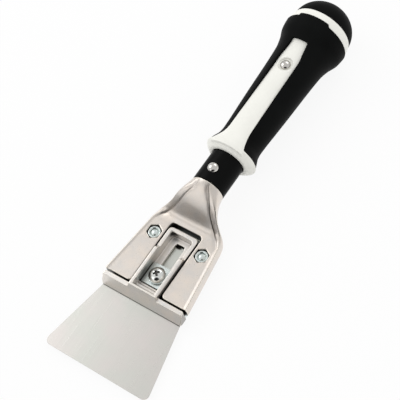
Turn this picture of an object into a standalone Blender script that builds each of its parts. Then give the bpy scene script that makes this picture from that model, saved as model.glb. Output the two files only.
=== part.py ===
"""Flexible scraper with a steel blade, a cast head and a sliding stiffener.

The tool lies on its back. +X points to the cutting edge, +Y to the right of the blade seen from
the front face, and +Z up, out of the front face. The origin is on the outer face of the back
plate, midway between the two blade bolts.
"""
import math

import bmesh
import bpy
from mathutils import Vector

MM = 0.001

# Clearances and cuts
GAP = 0.3 * MM
OVERRUN = 1.0 * MM
MERGE = 0.01 * MM

# Round resolution, in segments of a full turn
GRIP_STEPS = 36
TUBE_STEPS = 36
FASTENER_STEPS = 24
CORNER_STEPS = 5

# Back plate
BACK_THICKNESS = 2.6 * MM
BACK_FRONT_X = 36.0 * MM
BACK_REAR_X = -13.0 * MM
BACK_FRONT_WIDTH = 55.0 * MM
BACK_BOLT_MARGIN = 0.4 * MM
BACK_SHOULDER_X = -6.0 * MM
BACK_REAR_WIDTH = 34.0 * MM
BACK_CORNER_RADIUS = 3.0 * MM
BACK_EDGE_BEVEL = 1.2 * MM

# Blade
BLADE_THICKNESS = 0.6 * MM
BLADE_EDGE_X = 89.6 * MM
BLADE_EDGE_WIDTH = 76.0 * MM
BLADE_ROOT_X = 32.0 * MM
BLADE_ROOT_WIDTH = 52.8 * MM
BLADE_TAIL_X = -9.0 * MM
BLADE_TAIL_WIDTH = 46.0 * MM
BLADE_CORNER_RADIUS = 3.6 * MM
BLADE_TAIL_RADIUS = 4.0 * MM

# Cast head, wings
WING_THICKNESS = 8.1 * MM
HEAD_FRONT_X = 34.2 * MM
HEAD_FRONT_WIDTH = 59.6 * MM
SHOULDER_X = -8.0 * MM
NUT_POCKET_MARGIN = 3.3 * MM
WAIST_HEIGHT = 3.2 * MM
BOTTOM_TUCK = 1.6 * MM

# Cast head, raised bead along the edges
BEAD_HEIGHT = 0.6 * MM
BEAD_WIDTH = 2.4 * MM
BEAD_INSET = 5.8 * MM

# Cast head, neck
NECK_X = -36.0 * MM
SPIGOT_LENGTH = 23.0 * MM

# Channel of the head and the slider in it
CHANNEL_WIDTH = 22.8 * MM
CHANNEL_CORNER_RADIUS = 2.8 * MM
TONGUE_SIDE_CLEARANCE = 1.0 * MM
TONGUE_REAR_CLEARANCE = 2.8 * MM
TONGUE_REAR_WALL = 2.6 * MM
TONGUE_CORNER_RADIUS = 2.6 * MM
BAR_CLEARANCE = 1.2 * MM
BAR_WIDTH = 57.4 * MM
BAR_FRONT_X = 41.9 * MM
BAR_CORNER_RADIUS = 2.6 * MM
BAR_REAR_RADIUS = 0.8 * MM
FRAME_RAISE = 2.4 * MM
FRAME_INSET = 0.5 * MM
FRAME_REAR_X = 7.0 * MM
FRAME_RAMP = 1.8 * MM
FRAME_FRONT_X = 36.6 * MM
POCKET_FRONT_X = 34.6 * MM
POCKET_WIDTH = 15.8 * MM
POCKET_FLOOR = 2.0 * MM
POCKET_CORNER_RADIUS = 1.6 * MM
POCKET_END_CLEARANCE = 0.6 * MM
SLOT_WIDTH = 6.6 * MM
SLOT_CORNER_RADIUS = 1.5 * MM
SLOT_END_CLEARANCE = 0.5 * MM
SLIDER_TRAVEL = 20.0 * MM

# Clamp of the slider
CLAMP_X = 22.5 * MM
CLAMP_PLATE_LENGTH = 14.4 * MM
CLAMP_PLATE_SIDE_CLEARANCE = 0.4 * MM
CLAMP_PLATE_THICKNESS = 1.4 * MM
CLAMP_PLATE_CORNER = 0.6 * MM
LOCK_WASHER_DIAMETER = 11.4 * MM
LOCK_WASHER_THICKNESS = 1.0 * MM
LOCK_WASHER_SPLIT = 0.8 * MM
CLAMP_THREAD = 6.0 * MM
CLAMP_HEAD_DIAMETER = 10.5 * MM
CLAMP_HEAD_HEIGHT = 3.5 * MM
CLAMP_HEAD_RIM = 0.9 * MM
CROSS_WIDTH = 1.3 * MM
CROSS_LENGTH = 5.0 * MM
CROSS_DEPTH = 1.9 * MM

# Blade bolts and their nuts
BOLT_SPACING = 34.8 * MM
BOLT_THREAD = 5.0 * MM
BOLT_HEAD_DIAMETER = 9.4 * MM
BOLT_HEAD_LAND = 0.3 * MM
BOLT_TIP_BEVEL = 0.5 * MM
BOLT_RECESS_WIDTH = 1.1 * MM
BOLT_RECESS_LENGTH = 5.0 * MM
BOLT_RECESS_DEPTH = 1.5 * MM
NUT_ACROSS_FLATS = 8.0 * MM
NUT_THICKNESS = 4.0 * MM
NUT_SINK = 1.0 * MM
NUT_CHAMFER = 0.5 * MM

# Neck tube
TUBE_DIAMETER = 21.7 * MM
TUBE_WALL = 1.6 * MM
TUBE_REAR_X = -150.0 * MM

# Grip
COLLAR_FRONT_X = -58.0 * MM
COLLAR_LIP = 0.55 * MM
COLLAR_LENGTH = 4.6 * MM
BULB_DIAMETER = 43.8 * MM
SKIN_THICKNESS = 1.6 * MM
CORE_WALL = 0.9 * MM
SKIN_REAR_X = -160.6 * MM
SKIN_TAB = 1.6 * MM
SKIN_TAB_LEFT_ANGLE = math.radians(-25.5)
SKIN_TAB_RIGHT_ANGLE = math.radians(31.0)
RING_REAR_X = -167.5 * MM
RING_STEP = 0.3 * MM
RING_TAPER = 1.2 * MM
CAP_LENGTH = 18.2 * MM
CAP_SPIGOT_DIAMETER = 24.0 * MM
CAP_SPIGOT_LENGTH = 7.5 * MM

# White strip of the grip
STRIP_WIDTH = 14.5 * MM
STRIP_REAR_X = -145.4 * MM
STRIP_REAR_WIDTH = 11.0 * MM
STRIP_TAPER_LENGTH = 15.4 * MM
STRIP_MOUTH_WIDTH = 22.4 * MM
STRIP_CORNER_RADIUS = 0.9 * MM

# Dome-head rivets
RIVET_HEAD_DIAMETER = 6.8 * MM
RIVET_HEAD_HEIGHT = 2.2 * MM
RIVET_SHANK_DIAMETER = 3.8 * MM
RIVET_GRIP_LENGTH = 9.0 * MM
NECK_RIVET_X = -45.2 * MM
GRIP_RIVET_X = -127.3 * MM
RIVET_RECESS_DIAMETER = 9.4 * MM
RIVET_RECESS_DEPTH = 1.6 * MM

# Levels, worked out from the sizes above
BLADE_Z = BACK_THICKNESS + GAP
BACK_SHOULDER_WIDTH = BOLT_SPACING + BOLT_HEAD_DIAMETER + 2 * BACK_BOLT_MARGIN
SHOULDER_WIDTH = BOLT_SPACING + NUT_ACROSS_FLATS + 2 * NUT_POCKET_MARGIN
HEAD_Z = BLADE_Z + BLADE_THICKNESS + GAP
WING_Z = HEAD_Z + WING_THICKNESS
NECK_RADIUS = TUBE_DIAMETER / 2
TUBE_BORE_RADIUS = NECK_RADIUS - TUBE_WALL
WAIST_RADIUS = NECK_RADIUS + GAP + CORE_WALL + GAP + SKIN_THICKNESS
BULB_RADIUS = BULB_DIAMETER / 2
AXIS_Z = BULB_RADIUS
RING_FRONT_RADIUS = BULB_RADIUS - RING_STEP
RING_REAR_RADIUS = RING_FRONT_RADIUS - RING_TAPER
FRAME_Z = WING_Z + FRAME_RAISE
POCKET_Z = HEAD_Z + POCKET_FLOOR
CLAMP_PLATE_Z = POCKET_Z + GAP
LOCK_WASHER_Z = CLAMP_PLATE_Z + CLAMP_PLATE_THICKNESS + GAP
CLAMP_HEAD_Z = LOCK_WASHER_Z + LOCK_WASHER_THICKNESS + GAP
NUT_Z = WING_Z - NUT_SINK - NUT_THICKNESS
TONGUE_WIDTH = CHANNEL_WIDTH - 2 * TONGUE_SIDE_CLEARANCE
SLOT_REAR_X = CLAMP_X - SLIDER_TRAVEL - CLAMP_THREAD / 2 - SLOT_END_CLEARANCE
POCKET_REAR_X = CLAMP_X - SLIDER_TRAVEL - CLAMP_PLATE_LENGTH / 2 - POCKET_END_CLEARANCE
TONGUE_REAR_X = POCKET_REAR_X - TONGUE_REAR_WALL
CHANNEL_REAR_X = TONGUE_REAR_X - TONGUE_REAR_CLEARANCE
BAR_REAR_X = HEAD_FRONT_X + BAR_CLEARANCE
COLLAR_REAR_X = COLLAR_FRONT_X - COLLAR_LENGTH
SKIN_FRONT_X = COLLAR_REAR_X - GAP
SKIN_SEAT = SKIN_THICKNESS + GAP

# Neck to wings: shares of the way from the neck to the shoulder, and of what changes over it
WIDTH_SHARES = ((0.0, 0.0), (0.107, 0.036), (0.214, 0.098), (0.321, 0.173), (0.429, 0.275),
                (0.536, 0.397), (0.643, 0.607), (0.75, 0.835), (0.857, 0.942), (1.0, 1.0))
WAIST_SHARES = ((0.0, 0.0), (0.107, -0.09), (0.214, -0.155), (0.321, -0.16), (0.429, -0.075),
                (0.536, 0.125), (0.643, 0.42), (0.75, 0.725), (0.857, 0.935), (1.0, 1.0))
CREST_SHARES = ((0.0, 0.0), (0.107, 0.036), (0.214, 0.098), (0.321, 0.225), (0.429, 0.395),
                (0.536, 0.59), (0.643, 0.79), (0.75, 0.95), (0.857, 0.995), (1.0, 1.0))
INSET_SHARES = ((0.0, 0.68), (0.107, 0.79), (0.214, 0.85), (0.321, 0.89), (0.429, 0.99),
                (0.536, 1.0), (0.643, 0.825), (0.75, 0.4), (0.857, 0.34), (1.0, 0.33))
DROP_SHARES = ((0.0, 0.0), (0.107, 0.06), (0.214, 0.213), (0.321, 0.395), (0.429, 0.6),
               (0.536, 0.78), (0.643, 0.9), (0.75, 0.966), (0.857, 0.995), (1.0, 1.0))
BELLY_SHARES = ((0.0, 0.0), (0.107, -0.06), (0.214, -0.13), (0.321, -0.145), (0.429, -0.08),
                (0.536, 0.117), (0.643, 0.448), (0.75, 0.793), (0.857, 0.959), (1.0, 1.0))
ROUND_SHARES = ((0.0, 1.0), (0.107, 0.7), (0.214, 0.32), (0.321, 0.1), (0.429, 0.0), (1.0, 0.0))
BOX_SHARES = ((0.0, 0.0), (0.75, 0.0), (0.857, 0.5), (1.0, 1.0))
FLANK_POWER_SHARES = ((0.0, 2.0), (0.321, 3.1), (0.536, 3.7), (0.643, 3.8), (0.75, 3.3),
                      (0.857, 2.3), (1.0, 1.7))
BELLY_POWER_SHARES = ((0.0, 2.0), (0.214, 2.7), (0.429, 3.45), (0.643, 3.9), (1.0, 4.0))
SCOOP_POWER_SHARE = 2.5

# Skin of the grip: shares of its length, and of the way from the waist's radius to the bulb's
GRIP_SHARES = ((0.0, 0.378), (0.031, 0.24), (0.073, 0.055), (0.116, 0.0), (0.172, 0.017),
               (0.326, 0.113), (0.48, 0.198), (0.634, 0.273), (0.788, 0.388), (0.87, 0.601),
               (0.942, 0.92), (0.98, 0.981), (1.0, 1.0))
# Top of the white strip below the skin: shares of the skin's length, and of the skin's seat
STRIP_SINK_SHARES = ((0.0, -0.042), (0.116, -0.046), (0.172, 0.0), (0.326, 0.335), (0.48, 0.62),
                     (0.634, 0.866), (0.77, 0.96), (0.87, 0.97))
# Half width of the strip's mouth: shares of the distance from the collar, and of the flare
MOUTH_LENGTH = 14.5 * MM
MOUTH_SHARES = ((0.0, 1.0), (0.18, 0.72), (0.36, 0.45), (0.6, 0.17), (0.8, 0.05), (1.0, 0.0))
# Rear end of the strip: shares of the taper's length, and of what the strip narrows by
TAPER_SHARES = ((0.0, 0.0), (0.12, 0.03), (0.3, 0.22), (0.5, 0.54), (0.7, 0.8), (0.85, 0.94),
                (1.0, 1.0))
# Collar: shares of its length from the front, and of its radius
COLLAR_SHARES = ((0.0, 0.69), (0.03, 0.752), (0.12, 0.795), (0.23, 0.836), (0.39, 0.889),
                 (0.62, 0.955), (0.87, 1.0), (1.0, 0.993))


def clear_scene():
    for item in list(bpy.data.objects):
        bpy.data.objects.remove(item, do_unlink=True)


def new_collection(name):
    collection = bpy.data.collections.new(name)
    bpy.context.scene.collection.children.link(collection)
    return collection


def interpolate(shares, at):
    """Reads a smooth curve through a table of shares, without overshoot."""
    places = [row[0] for row in shares]
    values = [row[1] for row in shares]
    if at <= places[0]:
        return values[0]
    if at >= places[-1]:
        return values[-1]
    slopes = [(values[i + 1] - values[i]) / (places[i + 1] - places[i])
              for i in range(len(shares) - 1)]
    tangents = [slopes[0]]
    for before, after in zip(slopes, slopes[1:]):
        tangents.append(0.0 if before * after <= 0 else 2 * before * after / (before + after))
    tangents.append(slopes[-1])
    index = max(i for i in range(len(slopes)) if places[i] <= at)
    span = places[index + 1] - places[index]
    t = (at - places[index]) / span
    start, end = values[index], values[index + 1]
    return (start * (1 + 2 * t) * (1 - t) ** 2 + end * t * t * (3 - 2 * t)
            + span * tangents[index] * t * (1 - t) ** 2 + span * tangents[index + 1] * t * t * (t - 1))


def steps_between(start, end, count):
    return [start + (end - start) * i / count for i in range(count + 1)]


def material(name, colour, roughness, metallic):
    made = bpy.data.materials.new(name)
    made.use_nodes = True
    shader = made.node_tree.nodes["Principled BSDF"]
    shader.inputs["Base Color"].default_value = (*colour, 1.0)
    shader.inputs["Roughness"].default_value = roughness
    shader.inputs["Metallic"].default_value = metallic
    made.diffuse_color = (*colour, 1.0)
    return made


def place(name, mesh, collection, parent=None):
    made = bpy.data.objects.new(name, mesh)
    collection.objects.link(made)
    made.parent = parent
    return made


def mark_cutter(made):
    made.hide_render = True
    made.display_type = "WIRE"
    return made


def arc(centre, radius, start, end, count):
    return [(centre[0] + radius * math.cos(a), centre[1] + radius * math.sin(a))
            for a in steps_between(start, end, count)]


def rounded(corners):
    """Turns corners (x, y, radius), listed anticlockwise, into an outline with arcs."""
    points = []
    for i, (x, y, radius) in enumerate(corners):
        here = Vector((x, y))
        if radius == 0:
            points.append((x, y))
            continue
        before = (Vector(corners[i - 1][:2]) - here).normalized()
        after = (Vector(corners[(i + 1) % len(corners)][:2]) - here).normalized()
        half = before.angle(after) / 2
        reach = radius / math.tan(half)
        first, last = here + before * reach, here + after * reach
        middle = here + (before + after).normalized() * radius / math.sin(half)
        start = math.atan2(first.y - middle.y, first.x - middle.x)
        turn = math.atan2(last.y - middle.y, last.x - middle.x) - start
        turn = (turn + math.pi) % (2 * math.pi) - math.pi
        points += arc(middle, radius, start, start + turn, CORNER_STEPS)
    return points


def flat_solid(name, outline, low, high, collection):
    """A flat outline in X and Y, made thick from one level to another."""
    curve = bpy.data.curves.new(name + "_outline", "CURVE")
    curve.dimensions = "2D"
    curve.fill_mode = "BOTH"
    curve.extrude = (high - low) / 2
    spline = curve.splines.new("POLY")
    spline.points.add(len(outline) - 1)
    for point, (x, y) in zip(spline.points, outline):
        point.co = (x, y, 0, 1)
    spline.use_cyclic_u = True
    drawn = place(name + "_outline", curve, collection)
    drawn.location.z = (low + high) / 2
    bpy.context.view_layer.update()
    mesh = bpy.data.meshes.new_from_object(drawn.evaluated_get(
        bpy.context.evaluated_depsgraph_get()))
    work = bmesh.new()
    work.from_mesh(mesh)
    bmesh.ops.remove_doubles(work, verts=work.verts, dist=MERGE)
    bmesh.ops.recalc_face_normals(work, faces=work.faces)
    work.to_mesh(mesh)
    work.free()
    mesh.name = name
    made = place(name, mesh, collection)
    made.matrix_world = drawn.matrix_world
    bpy.data.objects.remove(drawn)
    return made


def side_solid(name, outline, width, collection):
    """A flat outline in X and Z, made thick across Y about the middle plane."""
    made = flat_solid(name, outline, -width / 2, width / 2, collection)
    made.rotation_euler.x = math.pi / 2
    return made


def turned(name, profile, steps, collection, parent=None):
    """A profile of (radius, height) turned about its own Z axis, outer side from top to bottom."""
    mesh = bpy.data.meshes.new(name)
    mesh.from_pydata([(radius, 0, height) for radius, height in profile],
                     [(i, i + 1) for i in range(len(profile) - 1)], [])
    made = place(name, mesh, collection, parent)
    screw = made.modifiers.new("turn", "SCREW")
    screw.axis = "Z"
    screw.steps = steps
    screw.render_steps = steps
    screw.use_merge_vertices = True
    screw.merge_threshold = MERGE
    return made


def pin(name, radius, low, high, steps, collection, parent=None):
    return turned(name, [(0, high), (radius, high), (radius, low), (0, low)], steps, collection,
                  parent)


def closed_turn(profile):
    """A ring's profile ends where it starts."""
    return profile + [profile[0]]


def boolean(made, other, operation="DIFFERENCE"):
    modifier = made.modifiers.new(operation.lower() + "_" + other.name, "BOOLEAN")
    modifier.operation = operation
    modifier.solver = "EXACT"
    modifier.object = other


def hexagon(across_flats):
    radius = across_flats / 2 / math.cos(math.pi / 6)
    return arc((0, 0), radius, 0, 2 * math.pi * 5 / 6, 5)


def cross_recess(name, width, length, low, high, angle, collection):
    """Two crossed bars that cut the recess of a cross-head screw."""
    bars = []
    for index, turn in enumerate((angle, angle + math.pi / 2)):
        bar = flat_solid(f"{name}_{index + 1}", rounded([
            (-length / 2, -width / 2, 0), (length / 2, -width / 2, 0),
            (length / 2, width / 2, 0), (-length / 2, width / 2, 0)]), low, high, collection)
        bar.rotation_euler.z = turn
        bars.append(mark_cutter(bar))
    return bars


def finish(made, finish_material):
    made.data.materials.append(finish_material)
    made.data.shade_smooth()


# Cast head

def head_values(x):
    """Sizes of the casting's section at one place along it."""
    share = min(max((x - NECK_X) / (SHOULDER_X - NECK_X), 0), 1)
    forward = min(max((x - SHOULDER_X) / (HEAD_FRONT_X - SHOULDER_X), 0), 1)
    shoulder, front = SHOULDER_WIDTH / 2, HEAD_FRONT_WIDTH / 2
    half = NECK_RADIUS + (shoulder - NECK_RADIUS) * interpolate(WIDTH_SHARES, share)
    half += (front - shoulder) * forward
    inset = BEAD_INSET * interpolate(INSET_SHARES, share)

    def between(neck, wing, shares):
        return neck + (wing - neck) * interpolate(shares, share)

    neck_bead_y = NECK_RADIUS - BEAD_INSET * INSET_SHARES[0][1]
    neck_bead_z = AXIS_Z + (NECK_RADIUS ** 2 - neck_bead_y ** 2) ** 0.5
    return {
        "half": half,
        "waist": between(AXIS_Z, HEAD_Z + WAIST_HEIGHT, WAIST_SHARES),
        "crest_y": half - inset,
        "crest_z": between(neck_bead_z, WING_Z + BEAD_HEIGHT, CREST_SHARES),
        "top": between(AXIS_Z + NECK_RADIUS, WING_Z, DROP_SHARES),
        "belly": between(AXIS_Z - NECK_RADIUS, HEAD_Z, BELLY_SHARES),
        "round": interpolate(ROUND_SHARES, share),
        "box": interpolate(BOX_SHARES, share),
        "flank_power": interpolate(FLANK_POWER_SHARES, share) - 0.3 * forward,
        "belly_power": interpolate(BELLY_POWER_SHARES, share),
    }


def mix(first, second, share):
    return [(a[0] + (b[0] - a[0]) * share, a[1] + (b[1] - a[1]) * share)
            for a, b in zip(first, second)]


def head_section(x):
    """Half of the casting's section, from the middle of its top round to its belly."""
    at = head_values(x)
    half, waist, top, belly = at["half"], at["waist"], at["top"], at["belly"]
    crest_y, crest_z = at["crest_y"], at["crest_z"]
    foot, base = crest_y - BEAD_WIDTH / 2, crest_z - BEAD_HEIGHT
    upper = [(foot * share, top + (base - top) * share ** SCOOP_POWER_SHARE)
             for share in (0, 0.25, 0.5, 0.75, 1)]
    upper += [(crest_y - BEAD_WIDTH / 4, base + BEAD_HEIGHT * 0.75), (crest_y, crest_z)]
    power = 2 / at["flank_power"]
    upper += [(crest_y + (half - crest_y) * math.sin(a) ** power,
               waist + (crest_z - waist) * math.cos(a) ** power)
              for a in steps_between(0, math.pi / 2, 6)[1:-1]]
    upper.append((half, waist))
    degrees = (0, 8, 16, 24, 32, 36, 40, 48, 57, 66, 74, 82, 90)
    dome = [(half * math.sin(math.radians(a)), waist + (top - waist) * math.cos(math.radians(a)))
            for a in degrees]
    upper = mix(upper, dome, at["round"])

    power = 2 / at["belly_power"]
    bowl = [(half * math.cos(a) ** power, waist - (waist - belly) * math.sin(a) ** power)
            for a in steps_between(0, math.pi / 2, 10)[1:-1]] + [(0, belly)]
    inner = half - BOTTOM_TUCK
    box = [(inner + BOTTOM_TUCK * math.cos(a), waist - (waist - belly) * math.sin(a))
           for a in steps_between(0, math.pi / 2, 5)[1:]]
    box += [(inner * share, belly) for share in (0.8, 0.6, 0.4, 0.2, 0)]
    return upper + mix(bowl, box, at["box"])


def loft(name, rings, collection):
    """Closed skin through rings that hold the same number of points."""
    work = bmesh.new()
    rows = [[work.verts.new(point) for point in ring] for ring in rings]
    count = len(rings[0])
    for first, second in zip(rows, rows[1:]):
        for i in range(count):
            after = (i + 1) % count
            work.faces.new((first[i], first[after], second[after], second[i]))
    work.faces.new(list(reversed(rows[0])))
    work.faces.new(rows[-1])
    bmesh.ops.recalc_face_normals(work, faces=work.faces)
    mesh = bpy.data.meshes.new(name)
    work.to_mesh(mesh)
    work.free()
    return place(name, mesh, collection)


def make_head(parts, cutters):
    places = (steps_between(NECK_X, SHOULDER_X, 14)
              + steps_between(SHOULDER_X, HEAD_FRONT_X, 3)[1:])
    rings = []
    for x in places:
        half = head_section(x)
        rings.append([(x, y, z) for y, z in half] + [(x, -y, z) for y, z in half[-2:0:-1]])
    spigot = TUBE_BORE_RADIUS - GAP
    scale = spigot / NECK_RADIUS
    neck = [(y, AXIS_Z + (z - AXIS_Z)) for _, y, z in rings[0]]
    small = [(y * scale, AXIS_Z + (z - AXIS_Z) * scale) for y, z in neck]
    rings = [[(NECK_X - SPIGOT_LENGTH, y, z) for y, z in small],
             [(NECK_X, y, z) for y, z in small]] + rings
    head = loft("head_casting", rings, parts)

    half = CHANNEL_WIDTH / 2
    channel = mark_cutter(flat_solid("channel_cut", rounded([
        (HEAD_FRONT_X + OVERRUN, half, 0), (CHANNEL_REAR_X, half, CHANNEL_CORNER_RADIUS),
        (CHANNEL_REAR_X, -half, CHANNEL_CORNER_RADIUS), (HEAD_FRONT_X + OVERRUN, -half, 0)]),
        HEAD_Z - OVERRUN, FRAME_Z + OVERRUN, cutters))
    boolean(head, channel)
    for side, word in ((-1, "left"), (1, "right")):
        pocket = mark_cutter(flat_solid(f"nut_pocket_{word}", hexagon(NUT_ACROSS_FLATS + 2 * GAP),
                                        NUT_Z - GAP, WING_Z + BEAD_HEIGHT + OVERRUN, cutters))
        pocket.location.y = side * BOLT_SPACING / 2
        boolean(head, pocket)
        hole = mark_cutter(pin(f"head_bolt_hole_{word}", BOLT_THREAD / 2 + GAP, HEAD_Z - OVERRUN,
                               NUT_Z + OVERRUN, FASTENER_STEPS, cutters))
        hole.location.y = side * BOLT_SPACING / 2
        boolean(head, hole)
    boolean(head, cutters.objects["neck_rivet_hole"])
    return head


# Blade, back plate and their bolts

def make_back_plate(parts, cutters):
    front, shoulder, rear = (BACK_FRONT_WIDTH / 2, BACK_SHOULDER_WIDTH / 2, BACK_REAR_WIDTH / 2)
    plate = flat_solid("back_plate", rounded([
        (BACK_FRONT_X, front, BACK_CORNER_RADIUS), (BACK_SHOULDER_X, shoulder, BACK_CORNER_RADIUS),
        (BACK_REAR_X, rear, BACK_CORNER_RADIUS), (BACK_REAR_X, -rear, BACK_CORNER_RADIUS),
        (BACK_SHOULDER_X, -shoulder, BACK_CORNER_RADIUS),
        (BACK_FRONT_X, -front, BACK_CORNER_RADIUS)]), 0, BACK_THICKNESS, parts)
    lean = mark_cutter(side_solid("back_front_bevel", [
        (BACK_FRONT_X - BACK_EDGE_BEVEL * 2, -OVERRUN), (BACK_FRONT_X + OVERRUN, -OVERRUN),
        (BACK_FRONT_X + OVERRUN, BACK_EDGE_BEVEL + OVERRUN),
        (BACK_FRONT_X, BACK_EDGE_BEVEL), (BACK_FRONT_X - BACK_EDGE_BEVEL * 2, 0)],
        BACK_FRONT_WIDTH + 2 * OVERRUN, cutters))
    boolean(plate, lean)
    cone = BOLT_HEAD_DIAMETER / 2 + GAP
    hole_radius = BOLT_THREAD / 2 + GAP
    for side, word in ((-1, "left"), (1, "right")):
        sink = mark_cutter(turned(f"countersink_{word}", [
            (0, BACK_THICKNESS + OVERRUN), (hole_radius, BACK_THICKNESS + OVERRUN),
            (hole_radius, cone - hole_radius + BOLT_HEAD_LAND), (cone, BOLT_HEAD_LAND),
            (cone, -OVERRUN), (0, -OVERRUN)], FASTENER_STEPS, cutters))
        sink.location.y = side * BOLT_SPACING / 2
        boolean(plate, sink)
    tapped = mark_cutter(pin("clamp_tapped_hole", CLAMP_THREAD / 2 + GAP, -OVERRUN,
                             BACK_THICKNESS + OVERRUN, FASTENER_STEPS, cutters))
    tapped.location.x = CLAMP_X
    boolean(plate, tapped)
    return plate


def make_blade(parts, cutters):
    edge, root, tail = BLADE_EDGE_WIDTH / 2, BLADE_ROOT_WIDTH / 2, BLADE_TAIL_WIDTH / 2
    blade = flat_solid("blade", rounded([
        (BLADE_EDGE_X, edge, BLADE_CORNER_RADIUS), (BLADE_ROOT_X, root, 0),
        (BLADE_TAIL_X, tail, BLADE_TAIL_RADIUS), (BLADE_TAIL_X, -tail, BLADE_TAIL_RADIUS),
        (BLADE_ROOT_X, -root, 0), (BLADE_EDGE_X, -edge, BLADE_CORNER_RADIUS)]),
        BLADE_Z, BLADE_Z + BLADE_THICKNESS, parts)
    places = [(0, -BOLT_SPACING / 2, BOLT_THREAD, "left"), (0, BOLT_SPACING / 2, BOLT_THREAD, "right"),
              (CLAMP_X, 0, CLAMP_THREAD, "clamp")]
    for x, y, thread, word in places:
        hole = mark_cutter(pin(f"blade_hole_{word}", thread / 2 + GAP, BLADE_Z - OVERRUN,
                               BLADE_Z + BLADE_THICKNESS + OVERRUN, FASTENER_STEPS, cutters))
        hole.location = (x, y, 0)
        boolean(blade, hole)
    return blade


def make_bolt(word, side, parts, cutters):
    shank, head = BOLT_THREAD / 2, BOLT_HEAD_DIAMETER / 2
    tip = WING_Z - NUT_SINK
    low = GAP / 2
    bolt = turned(f"blade_bolt_{word}", [
        (0, tip), (shank - BOLT_TIP_BEVEL, tip), (shank, tip - BOLT_TIP_BEVEL),
        (shank, low + BOLT_HEAD_LAND + head - shank), (head, low + BOLT_HEAD_LAND), (head, low),
        (0, low)], FASTENER_STEPS, parts)
    bolt.location.y = side * BOLT_SPACING / 2
    for bar in cross_recess(f"bolt_recess_{word}", BOLT_RECESS_WIDTH, BOLT_RECESS_LENGTH,
                            -OVERRUN, low + BOLT_RECESS_DEPTH, 0, cutters):
        bar.location.y = side * BOLT_SPACING / 2
        boolean(bolt, bar)
    return bolt


def make_nut(word, side, parts, cutters):
    nut = flat_solid(f"blade_nut_{word}", hexagon(NUT_ACROSS_FLATS), NUT_Z, NUT_Z + NUT_THICKNESS,
                     parts)
    nut.location.y = side * BOLT_SPACING / 2
    outer = NUT_ACROSS_FLATS / 2 / math.cos(math.pi / 6)
    top, low = NUT_Z + NUT_THICKNESS, NUT_Z
    crown = mark_cutter(turned(f"nut_crown_{word}", [
        (0, top), (outer - NUT_CHAMFER, top), (outer + NUT_CHAMFER, top - NUT_CHAMFER),
        (outer + NUT_CHAMFER, low + NUT_CHAMFER), (outer - NUT_CHAMFER, low), (0, low)],
        FASTENER_STEPS, cutters))
    bore = mark_cutter(pin(f"nut_bore_{word}", BOLT_THREAD / 2 + GAP, low - OVERRUN, top + OVERRUN,
                           FASTENER_STEPS, cutters))
    for cutter in (crown, bore):
        cutter.location.y = side * BOLT_SPACING / 2
    boolean(nut, crown, "INTERSECT")
    boolean(nut, bore)
    return nut


# Sliding stiffener and its clamp

def make_slider(parts, cutters):
    tongue, bar = TONGUE_WIDTH / 2, BAR_WIDTH / 2
    slider = flat_solid("stiffener_slider", rounded([
        (BAR_FRONT_X, bar, BAR_CORNER_RADIUS), (BAR_REAR_X, bar, BAR_REAR_RADIUS),
        (BAR_REAR_X, tongue, 0), (TONGUE_REAR_X, tongue, TONGUE_CORNER_RADIUS),
        (TONGUE_REAR_X, -tongue, TONGUE_CORNER_RADIUS), (BAR_REAR_X, -tongue, 0),
        (BAR_REAR_X, -bar, BAR_REAR_RADIUS), (BAR_FRONT_X, -bar, BAR_CORNER_RADIUS)]),
        HEAD_Z, WING_Z, parts)
    frame = mark_cutter(side_solid("raised_frame", [
        (FRAME_REAR_X, WING_Z), (FRAME_REAR_X + FRAME_RAMP, FRAME_Z), (FRAME_FRONT_X, FRAME_Z),
        (FRAME_FRONT_X + FRAME_RAISE, WING_Z - OVERRUN), (FRAME_REAR_X, WING_Z - OVERRUN)],
        TONGUE_WIDTH - 2 * FRAME_INSET, cutters))
    boolean(slider, frame, "UNION")
    lean = (BAR_FRONT_X - FRAME_FRONT_X) / (FRAME_Z - HEAD_Z)
    past = FRAME_Z + OVERRUN
    front = mark_cutter(side_solid("bar_front_slope", [
        (BAR_FRONT_X + lean * OVERRUN, HEAD_Z - OVERRUN), (BAR_FRONT_X + FRAME_RAISE, HEAD_Z - OVERRUN),
        (BAR_FRONT_X + FRAME_RAISE, past), (FRAME_FRONT_X - lean * OVERRUN, past)],
        BAR_WIDTH + 2 * OVERRUN, cutters))
    boolean(slider, front)
    half = POCKET_WIDTH / 2
    pocket = mark_cutter(flat_solid("slider_pocket", rounded([
        (POCKET_FRONT_X, half, POCKET_CORNER_RADIUS), (POCKET_REAR_X, half, POCKET_CORNER_RADIUS),
        (POCKET_REAR_X, -half, POCKET_CORNER_RADIUS),
        (POCKET_FRONT_X, -half, POCKET_CORNER_RADIUS)]), POCKET_Z, past, cutters))
    boolean(slider, pocket)
    half = SLOT_WIDTH / 2
    front_end = CLAMP_X + half + GAP
    slot = mark_cutter(flat_solid("slider_slot", rounded([
        (front_end, half, SLOT_CORNER_RADIUS), (SLOT_REAR_X, half, SLOT_CORNER_RADIUS),
        (SLOT_REAR_X, -half, SLOT_CORNER_RADIUS), (front_end, -half, SLOT_CORNER_RADIUS)]),
        HEAD_Z - OVERRUN, POCKET_Z + OVERRUN, cutters))
    boolean(slider, slot)
    return slider


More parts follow.
